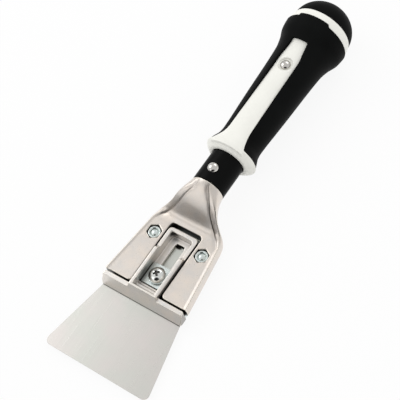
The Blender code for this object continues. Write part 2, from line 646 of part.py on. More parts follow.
def make_clamp(parts, cutters, carrier):
    half_length = CLAMP_PLATE_LENGTH / 2
    half_width = POCKET_WIDTH / 2 - CLAMP_PLATE_SIDE_CLEARANCE
    corner = CLAMP_PLATE_CORNER
    plate = flat_solid("clamp_plate", rounded([
        (half_length, half_width, corner), (-half_length, half_width, corner),
        (-half_length, -half_width, corner), (half_length, -half_width, corner)]),
        CLAMP_PLATE_Z, CLAMP_PLATE_Z + CLAMP_PLATE_THICKNESS, parts)
    plate.parent = carrier
    bore = mark_cutter(pin("clamp_plate_bore", CLAMP_THREAD / 2 + GAP, CLAMP_PLATE_Z - OVERRUN,
                           LOCK_WASHER_Z + LOCK_WASHER_THICKNESS + OVERRUN, FASTENER_STEPS, cutters,
                           carrier))
    boolean(plate, bore)
    top, low = LOCK_WASHER_Z + LOCK_WASHER_THICKNESS, LOCK_WASHER_Z
    inner, outer = CLAMP_THREAD / 2 + GAP, LOCK_WASHER_DIAMETER / 2
    washer = turned("lock_washer", closed_turn([(inner, top), (outer, top), (outer, low),
                                                (inner, low)]), FASTENER_STEPS, parts, carrier)
    split = mark_cutter(flat_solid("washer_split", [
        (0, -LOCK_WASHER_SPLIT / 2), (outer + OVERRUN, -LOCK_WASHER_SPLIT / 2),
        (outer + OVERRUN, LOCK_WASHER_SPLIT / 2), (0, LOCK_WASHER_SPLIT / 2)],
        low - OVERRUN, top + OVERRUN, cutters))
    split.parent = carrier
    split.rotation_euler.z = -math.pi / 4
    boolean(washer, split)

    radius, shank = CLAMP_HEAD_DIAMETER / 2, CLAMP_THREAD / 2
    crown = CLAMP_HEAD_HEIGHT - CLAMP_HEAD_RIM
    rim_z = CLAMP_HEAD_Z + CLAMP_HEAD_RIM
    dome = [(radius * math.sin(a), rim_z + crown * (1 - math.sin(a) ** 4) ** 0.5)
            for a in steps_between(0, math.pi / 2, 6)]
    screw = turned("clamp_screw", dome + [
        (radius, CLAMP_HEAD_Z), (shank, CLAMP_HEAD_Z), (shank, GAP + BOLT_TIP_BEVEL),
        (shank - BOLT_TIP_BEVEL, GAP), (0, GAP)], FASTENER_STEPS, parts, carrier)
    top = CLAMP_HEAD_Z + CLAMP_HEAD_HEIGHT
    for bar in cross_recess("clamp_recess", CROSS_WIDTH, CROSS_LENGTH, top - CROSS_DEPTH,
                            top + OVERRUN, math.pi / 4, cutters):
        bar.parent = carrier
        boolean(screw, bar)
    return plate, washer, screw


# Neck tube, grip and rivets

def grip_radius(share):
    return WAIST_RADIUS + (BULB_RADIUS - WAIST_RADIUS) * interpolate(GRIP_SHARES, share)


def strip_radius(share):
    return grip_radius(share) - SKIN_SEAT * interpolate(STRIP_SINK_SHARES, share)


def along_grip(share):
    """Distance behind the bolts of a share of the skin's length."""
    return -SKIN_FRONT_X + (SKIN_FRONT_X - SKIN_REAR_X) * share


def make_tube(parts, cutters, axis):
    front, rear = -NECK_X + GAP, -TUBE_REAR_X
    tube = turned("neck_tube", closed_turn([
        (TUBE_BORE_RADIUS, rear), (NECK_RADIUS, rear), (NECK_RADIUS, front),
        (TUBE_BORE_RADIUS, front)]), TUBE_STEPS, parts, axis)
    boolean(tube, cutters.objects["neck_rivet_hole"])
    boolean(tube, cutters.objects["grip_rivet_hole"])
    return tube


def make_skin(parts, cutters, axis):
    end = -SKIN_REAR_X + SKIN_TAB
    rows = [(grip_radius(s), along_grip(s)) for s in steps_between(0, 1, 22)]
    outer = [(rows[-1][0], end)] + rows[::-1]
    inner = [(radius - SKIN_THICKNESS, distance) for radius, distance in outer[::-1]]
    skin = turned("grip_skin", closed_turn(outer + inner), GRIP_STEPS, parts, axis)
    boolean(skin, cutters.objects["strip_window"])
    boolean(skin, cutters.objects["skin_end_cut"])
    return skin


def make_core(parts, cutters, axis):
    collar = grip_radius(0) + COLLAR_LIP
    plug = CAP_SPIGOT_DIAMETER / 2 + GAP
    ring_front = -SKIN_REAR_X + GAP
    ring_rear = -RING_REAR_X
    plug_end = ring_rear - CAP_SPIGOT_LENGTH - GAP
    base = [(grip_radius(s) - SKIN_SEAT, along_grip(s)) for s in steps_between(0, 1, 22)][::-1]
    lip = [(collar * share, -COLLAR_FRONT_X + COLLAR_LENGTH * place_share)
           for place_share, share in COLLAR_SHARES][::-1]
    profile = [(0, plug_end), (plug, plug_end), (plug, ring_rear), (RING_REAR_RADIUS, ring_rear),
               (RING_FRONT_RADIUS, ring_front), (base[0][0], ring_front)]
    profile += base
    profile += [(base[-1][0], -COLLAR_REAR_X)] + lip
    profile.append((0, -COLLAR_FRONT_X))
    core = turned("grip_core", profile, GRIP_STEPS, parts, axis)

    top = [(strip_radius(s), along_grip(s))
           for s in steps_between(0, (-STRIP_REAR_X + SKIN_FRONT_X) / (SKIN_FRONT_X - SKIN_REAR_X), 20)]
    inside = -COLLAR_REAR_X - COLLAR_LENGTH / 4
    rib = mark_cutter(turned("strip_rib", [(0, top[-1][1])] + top[::-1] + [
        (top[0][0], inside), (0, inside)], GRIP_STEPS * 2, cutters, axis))
    boolean(rib, cutters.objects["strip_outline"], "INTERSECT")
    boolean(core, rib, "UNION")
    boolean(core, cutters.objects["ring_notch"])
    bore = mark_cutter(pin("core_bore", NECK_RADIUS + GAP, -COLLAR_FRONT_X - OVERRUN,
                           -TUBE_REAR_X + GAP, GRIP_STEPS, cutters, axis))
    boolean(core, bore)
    boolean(core, cutters.objects["grip_rivet_hole"])
    boolean(core, cutters.objects["rivet_recess"])
    return core


def make_cap(parts, axis):
    base = -RING_REAR_X + GAP
    radius = RING_REAR_RADIUS - GAP / 2
    plug = CAP_SPIGOT_DIAMETER / 2
    dome = [(radius * math.sin(a), base + CAP_LENGTH * math.cos(a))
            for a in steps_between(0, math.pi / 2, 12)]
    return turned("end_cap", dome + [(plug, base), (plug, base - CAP_SPIGOT_LENGTH),
                                     (0, base - CAP_SPIGOT_LENGTH)], GRIP_STEPS, parts, axis)


def strip_outline(grow):
    """Outline of the white strip seen from above, grown all round by a clearance."""
    straight, mouth, narrow = STRIP_WIDTH / 2, STRIP_MOUTH_WIDTH / 2, STRIP_REAR_WIDTH / 2
    sides = []
    for share in steps_between(0, 1, 8):
        half = straight + (mouth - straight) * interpolate(MOUTH_SHARES, share)
        sides.append((COLLAR_REAR_X + COLLAR_LENGTH / 4 - (MOUTH_LENGTH + COLLAR_LENGTH / 4) * share,
                      half + grow))
    taper_x = STRIP_REAR_X + STRIP_TAPER_LENGTH
    for share in steps_between(0, 1, 6)[:-1]:
        half = straight + (narrow - straight) * interpolate(TAPER_SHARES, share)
        sides.append((taper_x - STRIP_TAPER_LENGTH * share, half + grow))
    front = (COLLAR_FRONT_X, mouth + grow)
    rear_x, half = STRIP_REAR_X - grow, narrow + grow
    end = rounded([(*sides[-1], 0), (rear_x, half, STRIP_CORNER_RADIUS),
                   (rear_x, -half, STRIP_CORNER_RADIUS), (sides[-1][0], -sides[-1][1], 0)])
    return ([front] + sides[:-1] + end + [(x, -y) for x, y in sides[:-1][::-1]]
            + [(front[0], -front[1])])


def sector(name, start, end, low, high, collection):
    """A sector about the handle's axis; its angles count from straight up."""
    radius = BULB_DIAMETER
    outline = [(0, 0)] + arc((0, 0), radius, start, end, GRIP_STEPS)
    return mark_cutter(flat_solid(name, outline, low, high, collection))


def make_grip_cutters(cutters, axis):
    top = AXIS_Z + BULB_DIAMETER
    mark_cutter(flat_solid("strip_outline", strip_outline(0), AXIS_Z + NECK_RADIUS / 2, top, cutters))
    mark_cutter(flat_solid("strip_window", strip_outline(GAP), AXIS_Z, top, cutters))
    left, right = SKIN_TAB_LEFT_ANGLE, SKIN_TAB_RIGHT_ANGLE
    skin_end = -SKIN_REAR_X
    cut = sector("skin_end_cut", right, 2 * math.pi + left, skin_end,
                 skin_end + SKIN_TAB + OVERRUN, cutters)
    spare = GAP / BULB_RADIUS
    notch = sector("ring_notch", left - spare, right + spare, skin_end,
                   skin_end + SKIN_TAB + GAP, cutters)
    for cutter in (cut, notch):
        cutter.parent = axis
    shank = RIVET_SHANK_DIAMETER / 2 + GAP
    neck = mark_cutter(pin("neck_rivet_hole", shank, AXIS_Z + NECK_RADIUS - RIVET_GRIP_LENGTH - GAP, top,
                           FASTENER_STEPS, cutters))
    neck.location.x = NECK_RIVET_X
    grip = mark_cutter(pin("grip_rivet_hole", shank, AXIS_Z, top, FASTENER_STEPS, cutters))
    grip.location.x = GRIP_RIVET_X
    recess = mark_cutter(pin("rivet_recess", RIVET_RECESS_DIAMETER / 2, rivet_recess_floor(), top,
                             FASTENER_STEPS, cutters))
    recess.location.x = GRIP_RIVET_X


def rivet_recess_floor():
    share = (-GRIP_RIVET_X + SKIN_FRONT_X) / (SKIN_FRONT_X - SKIN_REAR_X)
    return AXIS_Z + strip_radius(share) - RIVET_RECESS_DEPTH


def make_rivet(name, x, seat, length, parts):
    head, shank = RIVET_HEAD_DIAMETER / 2, RIVET_SHANK_DIAMETER / 2
    dome = [(head * math.sin(a), seat + RIVET_HEAD_HEIGHT * math.cos(a))
            for a in steps_between(0, math.pi / 2, 6)]
    rivet = turned(name, dome + [(shank, seat), (shank, seat - length), (0, seat - length)],
                   FASTENER_STEPS, parts)
    rivet.location.x = x
    return rivet


def main():
    clear_scene()
    parts = new_collection("flexible_scraper")
    cutters = new_collection("cutters")

    cast = material("zinc_casting", (0.66, 0.61, 0.56), 0.45, 0.6)
    zinc = material("zinc_plated_steel", (0.62, 0.64, 0.62), 0.3, 1.0)
    steel = material("ground_spring_steel", (0.68, 0.67, 0.63), 0.32, 1.0)
    black_steel = material("black_coated_tube", (0.012, 0.012, 0.013), 0.4, 0.0)
    rivet_steel = material("bright_rivet", (0.72, 0.70, 0.68), 0.2, 1.0)
    white = material("white_plastic", (0.86, 0.86, 0.82), 0.4, 0.0)
    rubber = material("black_rubber", (0.010, 0.010, 0.010), 0.6, 0.0)

    handle_axis = place("handle_axis", None, parts)
    handle_axis.location.z = AXIS_Z
    handle_axis.rotation_euler.y = -math.pi / 2
    clamp_axis = place("clamp_axis", None, parts)
    clamp_axis.location.x = CLAMP_X
    make_grip_cutters(cutters, handle_axis)

    finish(make_head(parts, cutters), cast)
    finish(make_back_plate(parts, cutters), zinc)
    finish(make_blade(parts, cutters), steel)
    for side, word in ((-1, "left"), (1, "right")):
        finish(make_bolt(word, side, parts, cutters), zinc)
        finish(make_nut(word, side, parts, cutters), zinc)
    finish(make_slider(parts, cutters), cast)
    for piece in make_clamp(parts, cutters, clamp_axis):
        finish(piece, zinc)
    finish(make_tube(parts, cutters, handle_axis), black_steel)
    finish(make_core(parts, cutters, handle_axis), white)
    finish(make_skin(parts, cutters, handle_axis), rubber)
    finish(make_cap(parts, handle_axis), rubber)
    finish(make_rivet("neck_rivet", NECK_RIVET_X, AXIS_Z + NECK_RADIUS + GAP,
                      RIVET_GRIP_LENGTH, parts), rivet_steel)
    finish(make_rivet("grip_rivet", GRIP_RIVET_X, rivet_recess_floor() + GAP,
                      RIVET_GRIP_LENGTH, parts), rivet_steel)


main()
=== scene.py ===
"""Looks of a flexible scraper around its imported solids.

The tool lies on its back plate and bulb. +X points to the cutting edge, +Y to the right of the
front face and +Z out of that face. Shapes are drawn in millimetres and settled in metres.
"""
import logging
import math
from dataclasses import dataclass, field
from enum import Enum
from typing import Callable, Dict, List, NamedTuple, Optional, Sequence, Tuple

import bmesh
import bpy
import numpy as np
from mathutils import Matrix, Vector

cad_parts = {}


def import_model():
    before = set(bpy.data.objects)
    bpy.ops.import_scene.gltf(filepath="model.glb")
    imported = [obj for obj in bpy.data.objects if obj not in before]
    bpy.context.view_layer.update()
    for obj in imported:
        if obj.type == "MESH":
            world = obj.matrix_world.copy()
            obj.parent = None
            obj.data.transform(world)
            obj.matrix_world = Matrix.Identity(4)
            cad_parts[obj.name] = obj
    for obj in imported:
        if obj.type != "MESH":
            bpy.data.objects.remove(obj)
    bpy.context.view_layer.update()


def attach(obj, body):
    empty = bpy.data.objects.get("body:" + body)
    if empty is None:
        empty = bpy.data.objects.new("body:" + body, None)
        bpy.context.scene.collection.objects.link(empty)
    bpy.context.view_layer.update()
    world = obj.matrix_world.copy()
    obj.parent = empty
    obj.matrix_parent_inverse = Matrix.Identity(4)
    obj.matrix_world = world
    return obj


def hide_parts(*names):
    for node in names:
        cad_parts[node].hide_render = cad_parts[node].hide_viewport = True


Point2 = Tuple[float, float]
Point3 = Tuple[float, float, float]
Colour = Tuple[float, float, float]
Table = Tuple[Tuple[float, float], ...]
Piece = bpy.types.Object
Socket = bpy.types.NodeSocket

LOG = logging.getLogger("flexible_scraper")
METRE = 0.001
FULL_TURN = 2 * math.pi
MERGE_DISTANCE = 0.0005
SIDES = (-1, 1)
STATIONS = (0.0, 0.107, 0.214, 0.321, 0.429, 0.536, 0.643, 0.75, 0.857, 1.0)


class Body(Enum):
    """The moving bodies that pieces ride on."""

    TOOL = "tool"
    STIFFENER = "stiffener"
    CLAMP_STACK = "clamp_stack"
    SCREW = "screw"


class Slot(Enum):
    """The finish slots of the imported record."""

    CASTING = "zinc_casting"
    PLATED = "zinc_plated_steel"
    SPRING_STEEL = "spring_steel"
    TUBE = "black_tube"
    RIVET = "bright_rivet"
    WHITE = "white_plastic"
    RUBBER = "black_rubber"


# Curves and outlines

def through(table: Table, at: float) -> float:
    """Reads a smooth curve through a table, without overshoot.

    Args:
        table: Rows of (place, value) with rising places.
        at: The place to read; outside the table its end values hold.

    Returns:
        The value there.
    """
    places = [row[0] for row in table]
    values = [row[1] for row in table]
    if at <= places[0]:
        return values[0]
    if at >= places[-1]:
        return values[-1]
    slopes = [(values[i + 1] - values[i]) / (places[i + 1] - places[i])
              for i in range(len(table) - 1)]
    tangents = [slopes[0]]
    for before, after in zip(slopes, slopes[1:]):
        tangents.append(0.0 if before * after <= 0 else 2 * before * after / (before + after))
    tangents.append(slopes[-1])
    index = max(i for i in range(len(slopes)) if places[i] <= at)
    span = places[index + 1] - places[index]
    t = (at - places[index]) / span
    start, end = values[index], values[index + 1]
    return (start * (1 + 2 * t) * (1 - t) ** 2 + end * t * t * (3 - 2 * t)
            + span * tangents[index] * t * (1 - t) ** 2 + span * tangents[index + 1] * t * t * (t - 1))


def between(start: float, end: float, table: Table, at: float) -> float:
    """Moves from one value to another as far as a table of shares says."""
    return start + (end - start) * through(table, at)


def at_stations(*values: float) -> Table:
    """A table of values at the ten stations between the neck and the shoulders."""
    return tuple(zip(STATIONS, values))


def limited(share: float) -> float:
    """Keeps a share within 0 and 1."""
    return min(max(share, 0.0), 1.0)


def ease(share: float) -> float:
    """Turns a share from 0 to 1 into a smooth step."""
    share = limited(share)
    return share * share * (3 - 2 * share)


def spread(start: float, end: float, count: int) -> List[float]:
    """Evenly spaced values, both ends included.

    Args:
        start: First value.
        end: Last value.
        count: Number of steps between them.

    Returns:
        count + 1 values.
    """
    return [start + (end - start) * i / count for i in range(count + 1)]


def blend_points(first: Sequence[Point2], second: Sequence[Point2], share: float) -> List[Point2]:
    """Moves each point of one outline part of the way to its partner on another.

    Args:
        first: Outline at share 0.
        second: Outline at share 1.
        share: Where between the two.

    Returns:
        The outline between them.
    """
    return [(a[0] + (b[0] - a[0]) * share, a[1] + (b[1] - a[1]) * share)
            for a, b in zip(first, second)]


def arc(centre: Point2, radius: float, start: float, end: float, count: int) -> List[Point2]:
    """Points of an arc from one angle to another."""
    return [(centre[0] + radius * math.cos(a), centre[1] + radius * math.sin(a))
            for a in spread(start, end, count)]


def rounded(corners: Sequence[Point3], steps: int = 8) -> List[Point2]:
    """Turns corners into an outline with arcs.

    Args:
        corners: (x, y, radius) of each corner, listed anticlockwise.
        steps: Steps in each arc.

    Returns:
        The outline's points.
    """
    points: List[Point2] = []
    for i, (x, y, radius) in enumerate(corners):
        here = Vector((x, y))
        if radius == 0:
            points.append((x, y))
            continue
        before = (Vector(corners[i - 1][:2]) - here).normalized()
        after = (Vector(corners[(i + 1) % len(corners)][:2]) - here).normalized()
        half = before.angle(after) / 2
        reach = radius / math.tan(half)
        first, last = here + before * reach, here + after * reach
        middle = here + (before + after).normalized() * radius / math.sin(half)
        start = math.atan2(first.y - middle.y, first.x - middle.x)
        turn = math.atan2(last.y - middle.y, last.x - middle.x) - start
        turn = (turn + math.pi) % FULL_TURN - math.pi
        points += arc(middle, radius, start, start + turn, steps)
    return points


def two_sided(corners: Sequence[Point3], steps: int = 8) -> List[Point2]:
    """Rounded outline that is the same on both sides of the middle plane.

    Args:
        corners: (x, half width, radius) of each corner, from the rear to the front.
        steps: Steps in each arc.

    Returns:
        The outline's points, anticlockwise.
    """
    return rounded([(x, -half, radius) for x, half, radius in corners]
                   + [(x, half, radius) for x, half, radius in corners[::-1]], steps)


def corner_loss(corner: float, depth: float) -> float:
    """How much a rounded corner takes from a half width, at a depth past the arc's start."""
    return corner - math.sqrt(max(corner * corner - depth * depth, 0.0))


def hexagon(across_flats: float) -> List[Point2]:
    """Outline of a hexagon with a corner on +X."""
    return arc((0, 0), across_flats / 2 / math.cos(math.pi / 6), 0, FULL_TURN * 5 / 6, 5)


# Meshes

def linked(name: str, data: bpy.types.ID) -> Piece:
    """Puts a mesh, lamp or camera in the scene.

    Args:
        name: The object's name.
        data: What it shows.

    Returns:
        The new object.
    """
    made = bpy.data.objects.new(name, data)
    bpy.context.scene.collection.objects.link(made)
    return made


def tidy_faces(mesh: bpy.types.Mesh) -> None:
    """Merges doubles and turns the faces outwards.

    Args:
        mesh: The mesh to tidy.
    """
    work = bmesh.new()
    work.from_mesh(mesh)
    bmesh.ops.remove_doubles(work, verts=work.verts, dist=MERGE_DISTANCE)
    bmesh.ops.recalc_face_normals(work, faces=work.faces)
    work.to_mesh(mesh)
    work.free()


def from_points(name: str, points: Sequence[Point3], faces: Sequence[Sequence[int]]) -> Piece:
    """Makes an object from points and faces, merged and with its faces turned outwards.

    Args:
        name: The object's name.
        points: Vertices in millimetres.
        faces: Vertex numbers of each face.

    Returns:
        The new object.
    """
    mesh = bpy.data.meshes.new(name)
    mesh.from_pydata([tuple(p) for p in points], [], [tuple(f) for f in faces])
    tidy_faces(mesh)
    return linked(name, mesh)


def between_rows(rows: Sequence[Sequence[int]]) -> List[Sequence[int]]:
    """Faces between neighbouring rows of vertex numbers."""
    return [(before[i], before[i + 1], after[i + 1], after[i])
            for before, after in zip(rows, rows[1:]) for i in range(len(before) - 1)]


def skin_through(name: str, rings: Sequence[Sequence[Point3]], capped: bool = True) -> Piece:
    """Closed skin through rings that hold the same number of points.

    Args:
        name: The object's name.
        rings: The rings, in order.
        capped: Whether the two ends are closed with a face.

    Returns:
        The new object.
    """
    count = len(rings[0])
    rows = [[r * count + i % count for i in range(count + 1)] for r in range(len(rings))]
    ends = [rows[0][-2::-1], rows[-1][:-1]] if capped else []
    return from_points(name, [p for ring in rings for p in ring], between_rows(rows) + ends)


def prism(name: str, outline: Sequence[Point2], low: float, high: float,
          draft: float = 0.0) -> Piece:
    """A flat outline in X and Y made thick in Z.

    Args:
        name: The object's name.
        outline: Anticlockwise outline.
        low: Lower level.
        high: Upper level.
        draft: How much narrower in Y, on each side, the top is than the bottom.

    Returns:
        The new object.
    """
    reach = max(abs(y) for _, y in outline) or 1.0
    scale = 1 - draft / reach
    return skin_through(name, [[(x, y, low) for x, y in outline],
                               [(x, y * scale, high) for x, y in outline]])


def side_prism(name: str, outline: Sequence[Point2], width: float) -> Piece:
    """A flat outline in X and Z made thick across Y about the middle plane."""
    return skin_through(name, [[(x, -width / 2, z) for x, z in outline],
                               [(x, width / 2, z) for x, z in outline]])


def post(name: str, centre: Point2, radius: float, low: float, high: float,
         steps: int = 48) -> Piece:
    """An upright round post."""
    outline = [(centre[0] + x, centre[1] + y)
               for x, y in arc((0, 0), radius, 0, FULL_TURN * (steps - 1) / steps, steps - 1)]
    return prism(name, outline, low, high)


def moved(piece: Piece, x: float = 0.0, y: float = 0.0, z: float = 0.0) -> Piece:
    """Shifts a piece's mesh."""
    piece.data.transform(Matrix.Translation((x, y, z)))
    return piece


def bake(piece: Piece) -> Piece:
    """Turns an object's modifiers into plain mesh.

    Args:
        piece: The object, whose mesh is replaced by its evaluated one.

    Returns:
        The same object, without modifiers.
    """
    evaluated = piece.evaluated_get(bpy.context.evaluated_depsgraph_get())
    mesh = bpy.data.meshes.new_from_object(evaluated)
    mesh.name = piece.name
    piece.modifiers.clear()
    piece.data = mesh
    return piece


def combine(piece: Piece, others: Sequence[Piece],
            how: str = "DIFFERENCE") -> Piece:
    """Cuts other objects from a piece, or joins them to it, and removes them.

    Args:
        piece: The piece that stays.
        others: The cutters.
        how: DIFFERENCE, UNION or INTERSECT.

    Returns:
        The piece.
    """
    for other in others:
        modifier = piece.modifiers.new(other.name, "BOOLEAN")
        modifier.operation = how
        modifier.solver = "EXACT"
        modifier.object = other
    bpy.context.view_layer.update()
    bake(piece)
    for other in others:
        bpy.data.objects.remove(other, do_unlink=True)
    return piece


def gather(name: str, parts: Sequence[Piece]) -> Piece:
    """Joins the meshes of several objects into one, and removes them.

    Args:
        name: Name of the new object.
        parts: The objects.

    Returns:
        The new object.
    """
    work = bmesh.new()
    for part in parts:
        work.from_mesh(part.data)
        bpy.data.objects.remove(part, do_unlink=True)
    mesh = bpy.data.meshes.new(name)
    work.to_mesh(mesh)
    work.free()
    return linked(name, mesh)


def relax_faces(piece: Piece, steps: int) -> None:
    """Adds a smoothing of a piece's faces, half of the way at each step."""
    smooth = piece.modifiers.new("relaxed_faces", "SMOOTH")
    smooth.factor, smooth.iterations = 0.5, steps


def cast_round(piece: Piece, grain: float, relax: int, keep: float = 1.0) -> Piece:
    """Rounds every edge of a closed piece as casting or moulding does.

    Args:
        piece: A closed piece, or overlapping closed shells that become one.
        grain: Size of the even faces that it gets, in millimetres.
        relax: How many times these are smoothed.
        keep: Share of the faces that stay; the others go from where the piece is flat.

    Returns:
        The piece.
    """
    relax_after_thinning = 4
    remesh = piece.modifiers.new("even_faces", "REMESH")
    remesh.mode = "VOXEL"
    remesh.voxel_size = grain
    relax_faces(piece, relax)
    if keep < 1:
        piece.modifiers.new("fewer_flat_faces", "DECIMATE").ratio = keep
        relax_faces(piece, relax_after_thinning)
    return bake(piece)


def note_points(piece: Piece, name: str, values: Sequence[float]) -> None:
    """Stores one number at each vertex, for the finish to read."""
    piece.data.attributes.new(name, "FLOAT", "POINT").data.foreach_set("value", values)


def darken(piece: Piece, amount: Callable[[Vector], float]) -> None:
    """Notes how much painted shade darkens each point of a piece still in millimetres, from 0 to 1."""
    note_points(piece, "grease", [amount(v.co) for v in piece.data.vertices])


def measure_bend(piece: Piece, spread_steps: int = 3) -> None:
    """Notes how sharply the surface bends, for the finish to lighten edges with wear and a painted highlight
    and to paint shade into creases.

    Args:
        piece: The piece, still in millimetres.
        spread_steps: How many times each value is averaged with its neighbours.
    """
    mesh, shortest = piece.data, 1e-4
    count = len(mesh.vertices)
    place, away = np.empty(count * 3, np.float32), np.empty(count * 3, np.float32)
    ends = np.empty(len(mesh.edges) * 2, np.int32)
    mesh.vertices.foreach_get("co", place)
    mesh.vertices.foreach_get("normal", away)
    mesh.edges.foreach_get("vertices", ends)
    place, away, (first, second) = place.reshape(-1, 3), away.reshape(-1, 3), ends.reshape(-1, 2).T
    step = place[second] - place[first]
    bend = ((away[second] - away[first]) * step).sum(1) / np.maximum((step * step).sum(1), shortest)
    links = np.bincount(first, minlength=count) + np.bincount(second, minlength=count)

    def mean(at_first: np.ndarray, at_second: np.ndarray) -> np.ndarray:
        """Each vertex's mean of what its edges bring."""
        total = np.bincount(first, at_first, count) + np.bincount(second, at_second, count)
        return total / np.maximum(links, 1)

    value = mean(bend, bend)
    for _ in range(spread_steps):
        value = (value + mean(value[second], value[first])) / 2
    note_points(piece, "bend", value.astype(np.float32))


def soften(piece: Piece, width: float, segments: int = 3,
           angle: float = 35.0) -> Piece:
    """Rounds the sharp edges of a machined or moulded piece.

    Args:
        piece: The piece.
        width: Width of the rounding in millimetres.
        segments: Faces across it.
        angle: Edges sharper than this, in degrees, are rounded.

    Returns:
        The piece.
    """
    bevel = piece.modifiers.new("soft_edges", "BEVEL")
    bevel.width = width
    bevel.segments = segments
    bevel.limit_method = "ANGLE"
    bevel.angle_limit = math.radians(angle)
    bevel.miter_outer = "MITER_ARC"
    bevel.harden_normals = False
    return bake(piece)


def settle(piece: Piece, finish: "Finish", body: Body, nodes: Sequence[str] = (),
           sharp: float = 40.0) -> Piece:
    """Gives a finished piece its real size, finish and body.

    Args:
        piece: The piece, drawn in millimetres.
        finish: Its finish.
        body: The body that it rides on.
        nodes: The solids that it stands for.
        sharp: Edges sharper than this, in degrees, stay crisp in the shading.

    Returns:
        The piece.
    """
    piece.data.transform(piece.matrix_world)
    piece.matrix_world = Matrix.Identity(4)
    piece.data.transform(Matrix.Scale(METRE, 4))
    piece.data.shade_smooth()
    piece.data.set_sharp_from_angle(angle=math.radians(sharp))
    piece.data.materials.clear()
    piece.data.materials.append(finish.material())
    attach(piece, body.value)
    if nodes:
        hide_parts(*nodes)
    LOG.info("%s: %d faces on %s", piece.name, len(piece.data.polygons), body.value)
    return piece


# Node trees

class Sketch:
    """Adds and links the nodes of a tree in a few words. Every value may be an output socket."""

    def __init__(self, tree: bpy.types.NodeTree) -> None:
        """Starts on a tree."""
        self.tree = tree

    def add(self, kind: str, inputs: Optional[Dict[object, object]] = None,
            **settings: object) -> bpy.types.Node:
        """Adds a node.

        Args:
            kind: Its type name.
            inputs: Values or output sockets for its inputs, by name or number.
            **settings: Its other settings.

        Returns:
            The node.
        """
        node = self.tree.nodes.new(kind)
        for key, value in settings.items():
            setattr(node, key, value)
        for key, value in (inputs or {}).items():
            if isinstance(value, Socket):
                self.tree.links.new(value, node.inputs[key])
            else:
                node.inputs[key].default_value = value
        return node

    def maths(self, operation: str, *values: object) -> Socket:
        """Adds a Math node."""
        return self.add("ShaderNodeMath", dict(enumerate(values)), operation=operation).outputs[0]

    def vector(self, operation: str, *values: object, output: str = "Vector") -> Socket:
        """Adds a Vector Math node."""
        node = self.add("ShaderNodeVectorMath", dict(enumerate(values)), operation=operation)
        return node.outputs[output]

    def level(self, share: Socket, first: object, second: object) -> Socket:
        """Mixes two numbers by a share."""
        return self.add("ShaderNodeMix", {0: share, 2: first, 3: second}, data_type="FLOAT").outputs[0]

    def tint(self, share: Socket, first: object, second: object) -> Socket:
        """Mixes two colours by a share."""
        ends = [c if isinstance(c, Socket) else (*c, 1.0) for c in (first, second)]
        return self.add("ShaderNodeMix", {0: share, 6: ends[0], 7: ends[1]}, data_type="RGBA").outputs[2]

    def ramp(self, value: Socket, low: float, high: float, start: float = 0.3,
             end: float = 0.7) -> Socket:
        """Maps what a value does between start and end, a noise's middle part, to a range."""
        return self.add("ShaderNodeMapRange", {"Value": value, "From Min": start, "From Max": end,
                                               "To Min": low, "To Max": high}).outputs["Result"]

    def step(self, value: Socket, start: float, end: float) -> Socket:
        """Adds a smooth step from 0 at one value to 1 at another."""
        return self.add("ShaderNodeMapRange", {"Value": value, "From Min": start, "From Max": end},
                        interpolation_type="SMOOTHSTEP").outputs["Result"]

    def noted(self, name: str) -> Socket:
        """Reads a number that is stored at the vertices."""
        return self.add("ShaderNodeAttribute", attribute_name=name).outputs["Fac"]

    def grain(self, size: float, detail: float = 3.0, stretch: Point3 = (1, 1, 1)) -> Socket:
        """A noise on the object's own coordinates.

        Args:
            size: Size of a grain in millimetres.
            detail: Octaves of the noise.
            stretch: How many times longer the grain is along each axis.

        Returns:
            The noise's value.
        """
        mapping = self.add("ShaderNodeMapping", {
            "Vector": self.add("ShaderNodeTexCoord").outputs["Object"],
            "Scale": tuple(1 / (size * METRE * s) for s in stretch)})
        return self.add("ShaderNodeTexNoise", {"Vector": mapping.outputs["Vector"], "Scale": 1.0,
                                               "Detail": detail, "Roughness": 0.55}).outputs[0]

    def copies(self, places: Socket, form: Socket, size: object = (1, 1, 1),
               turn: float = 0.0) -> Socket:
        """Sets a copy of a form at each point of a mesh.

        Args:
            places: The mesh.
            form: The form.
            size: Its size, as a factor.
            turn: Its turn about Z.

        Returns:
            The copies.
        """
        points = self.add("GeometryNodeMeshToPoints", {"Mesh": places})
        return self.add("GeometryNodeInstanceOnPoints", {
            "Points": points.outputs["Points"], "Instance": form, "Rotation": (0, 0, turn),
            "Scale": size}).outputs["Instances"]

    def deliver(self, form: Socket, finish: Socket) -> bpy.types.NodeTree:
        """Ends a geometry tree: the form is made real, gets its finish and comes out.

        Args:
            form: The form.
            finish: The socket that brings its finish.

        Returns:
            The tree.
        """
        real = self.add("GeometryNodeRealizeInstances", {"Geometry": form})
        painted = self.add("GeometryNodeSetMaterial", {
            "Geometry": real.outputs["Geometry"], "Material": finish})
        self.add("NodeGroupOutput", {"Form": painted.outputs["Geometry"]})
        return self.tree


def start_form(name: str, sockets: Dict[str, str]) -> Tuple[Sketch, bpy.types.bpy_prop_collection]:
    """Starts a geometry tree that makes a form.

    Args:
        name: Name of the tree.
        sockets: Kind of each input by its name; a finish is added to them.

    Returns:
        The tree's sketch and the sockets that bring its inputs.
    """
    tree = bpy.data.node_groups.new(name, "GeometryNodeTree")
    for label, kind in {**sockets, "Finish": "Material"}.items():
        tree.interface.new_socket(name=label, in_out="INPUT", socket_type=f"NodeSocket{kind}")
    tree.interface.new_socket(name="Form", in_out="OUTPUT", socket_type="NodeSocketGeometry")
    sketch = Sketch(tree)
    return sketch, sketch.add("NodeGroupInput").outputs


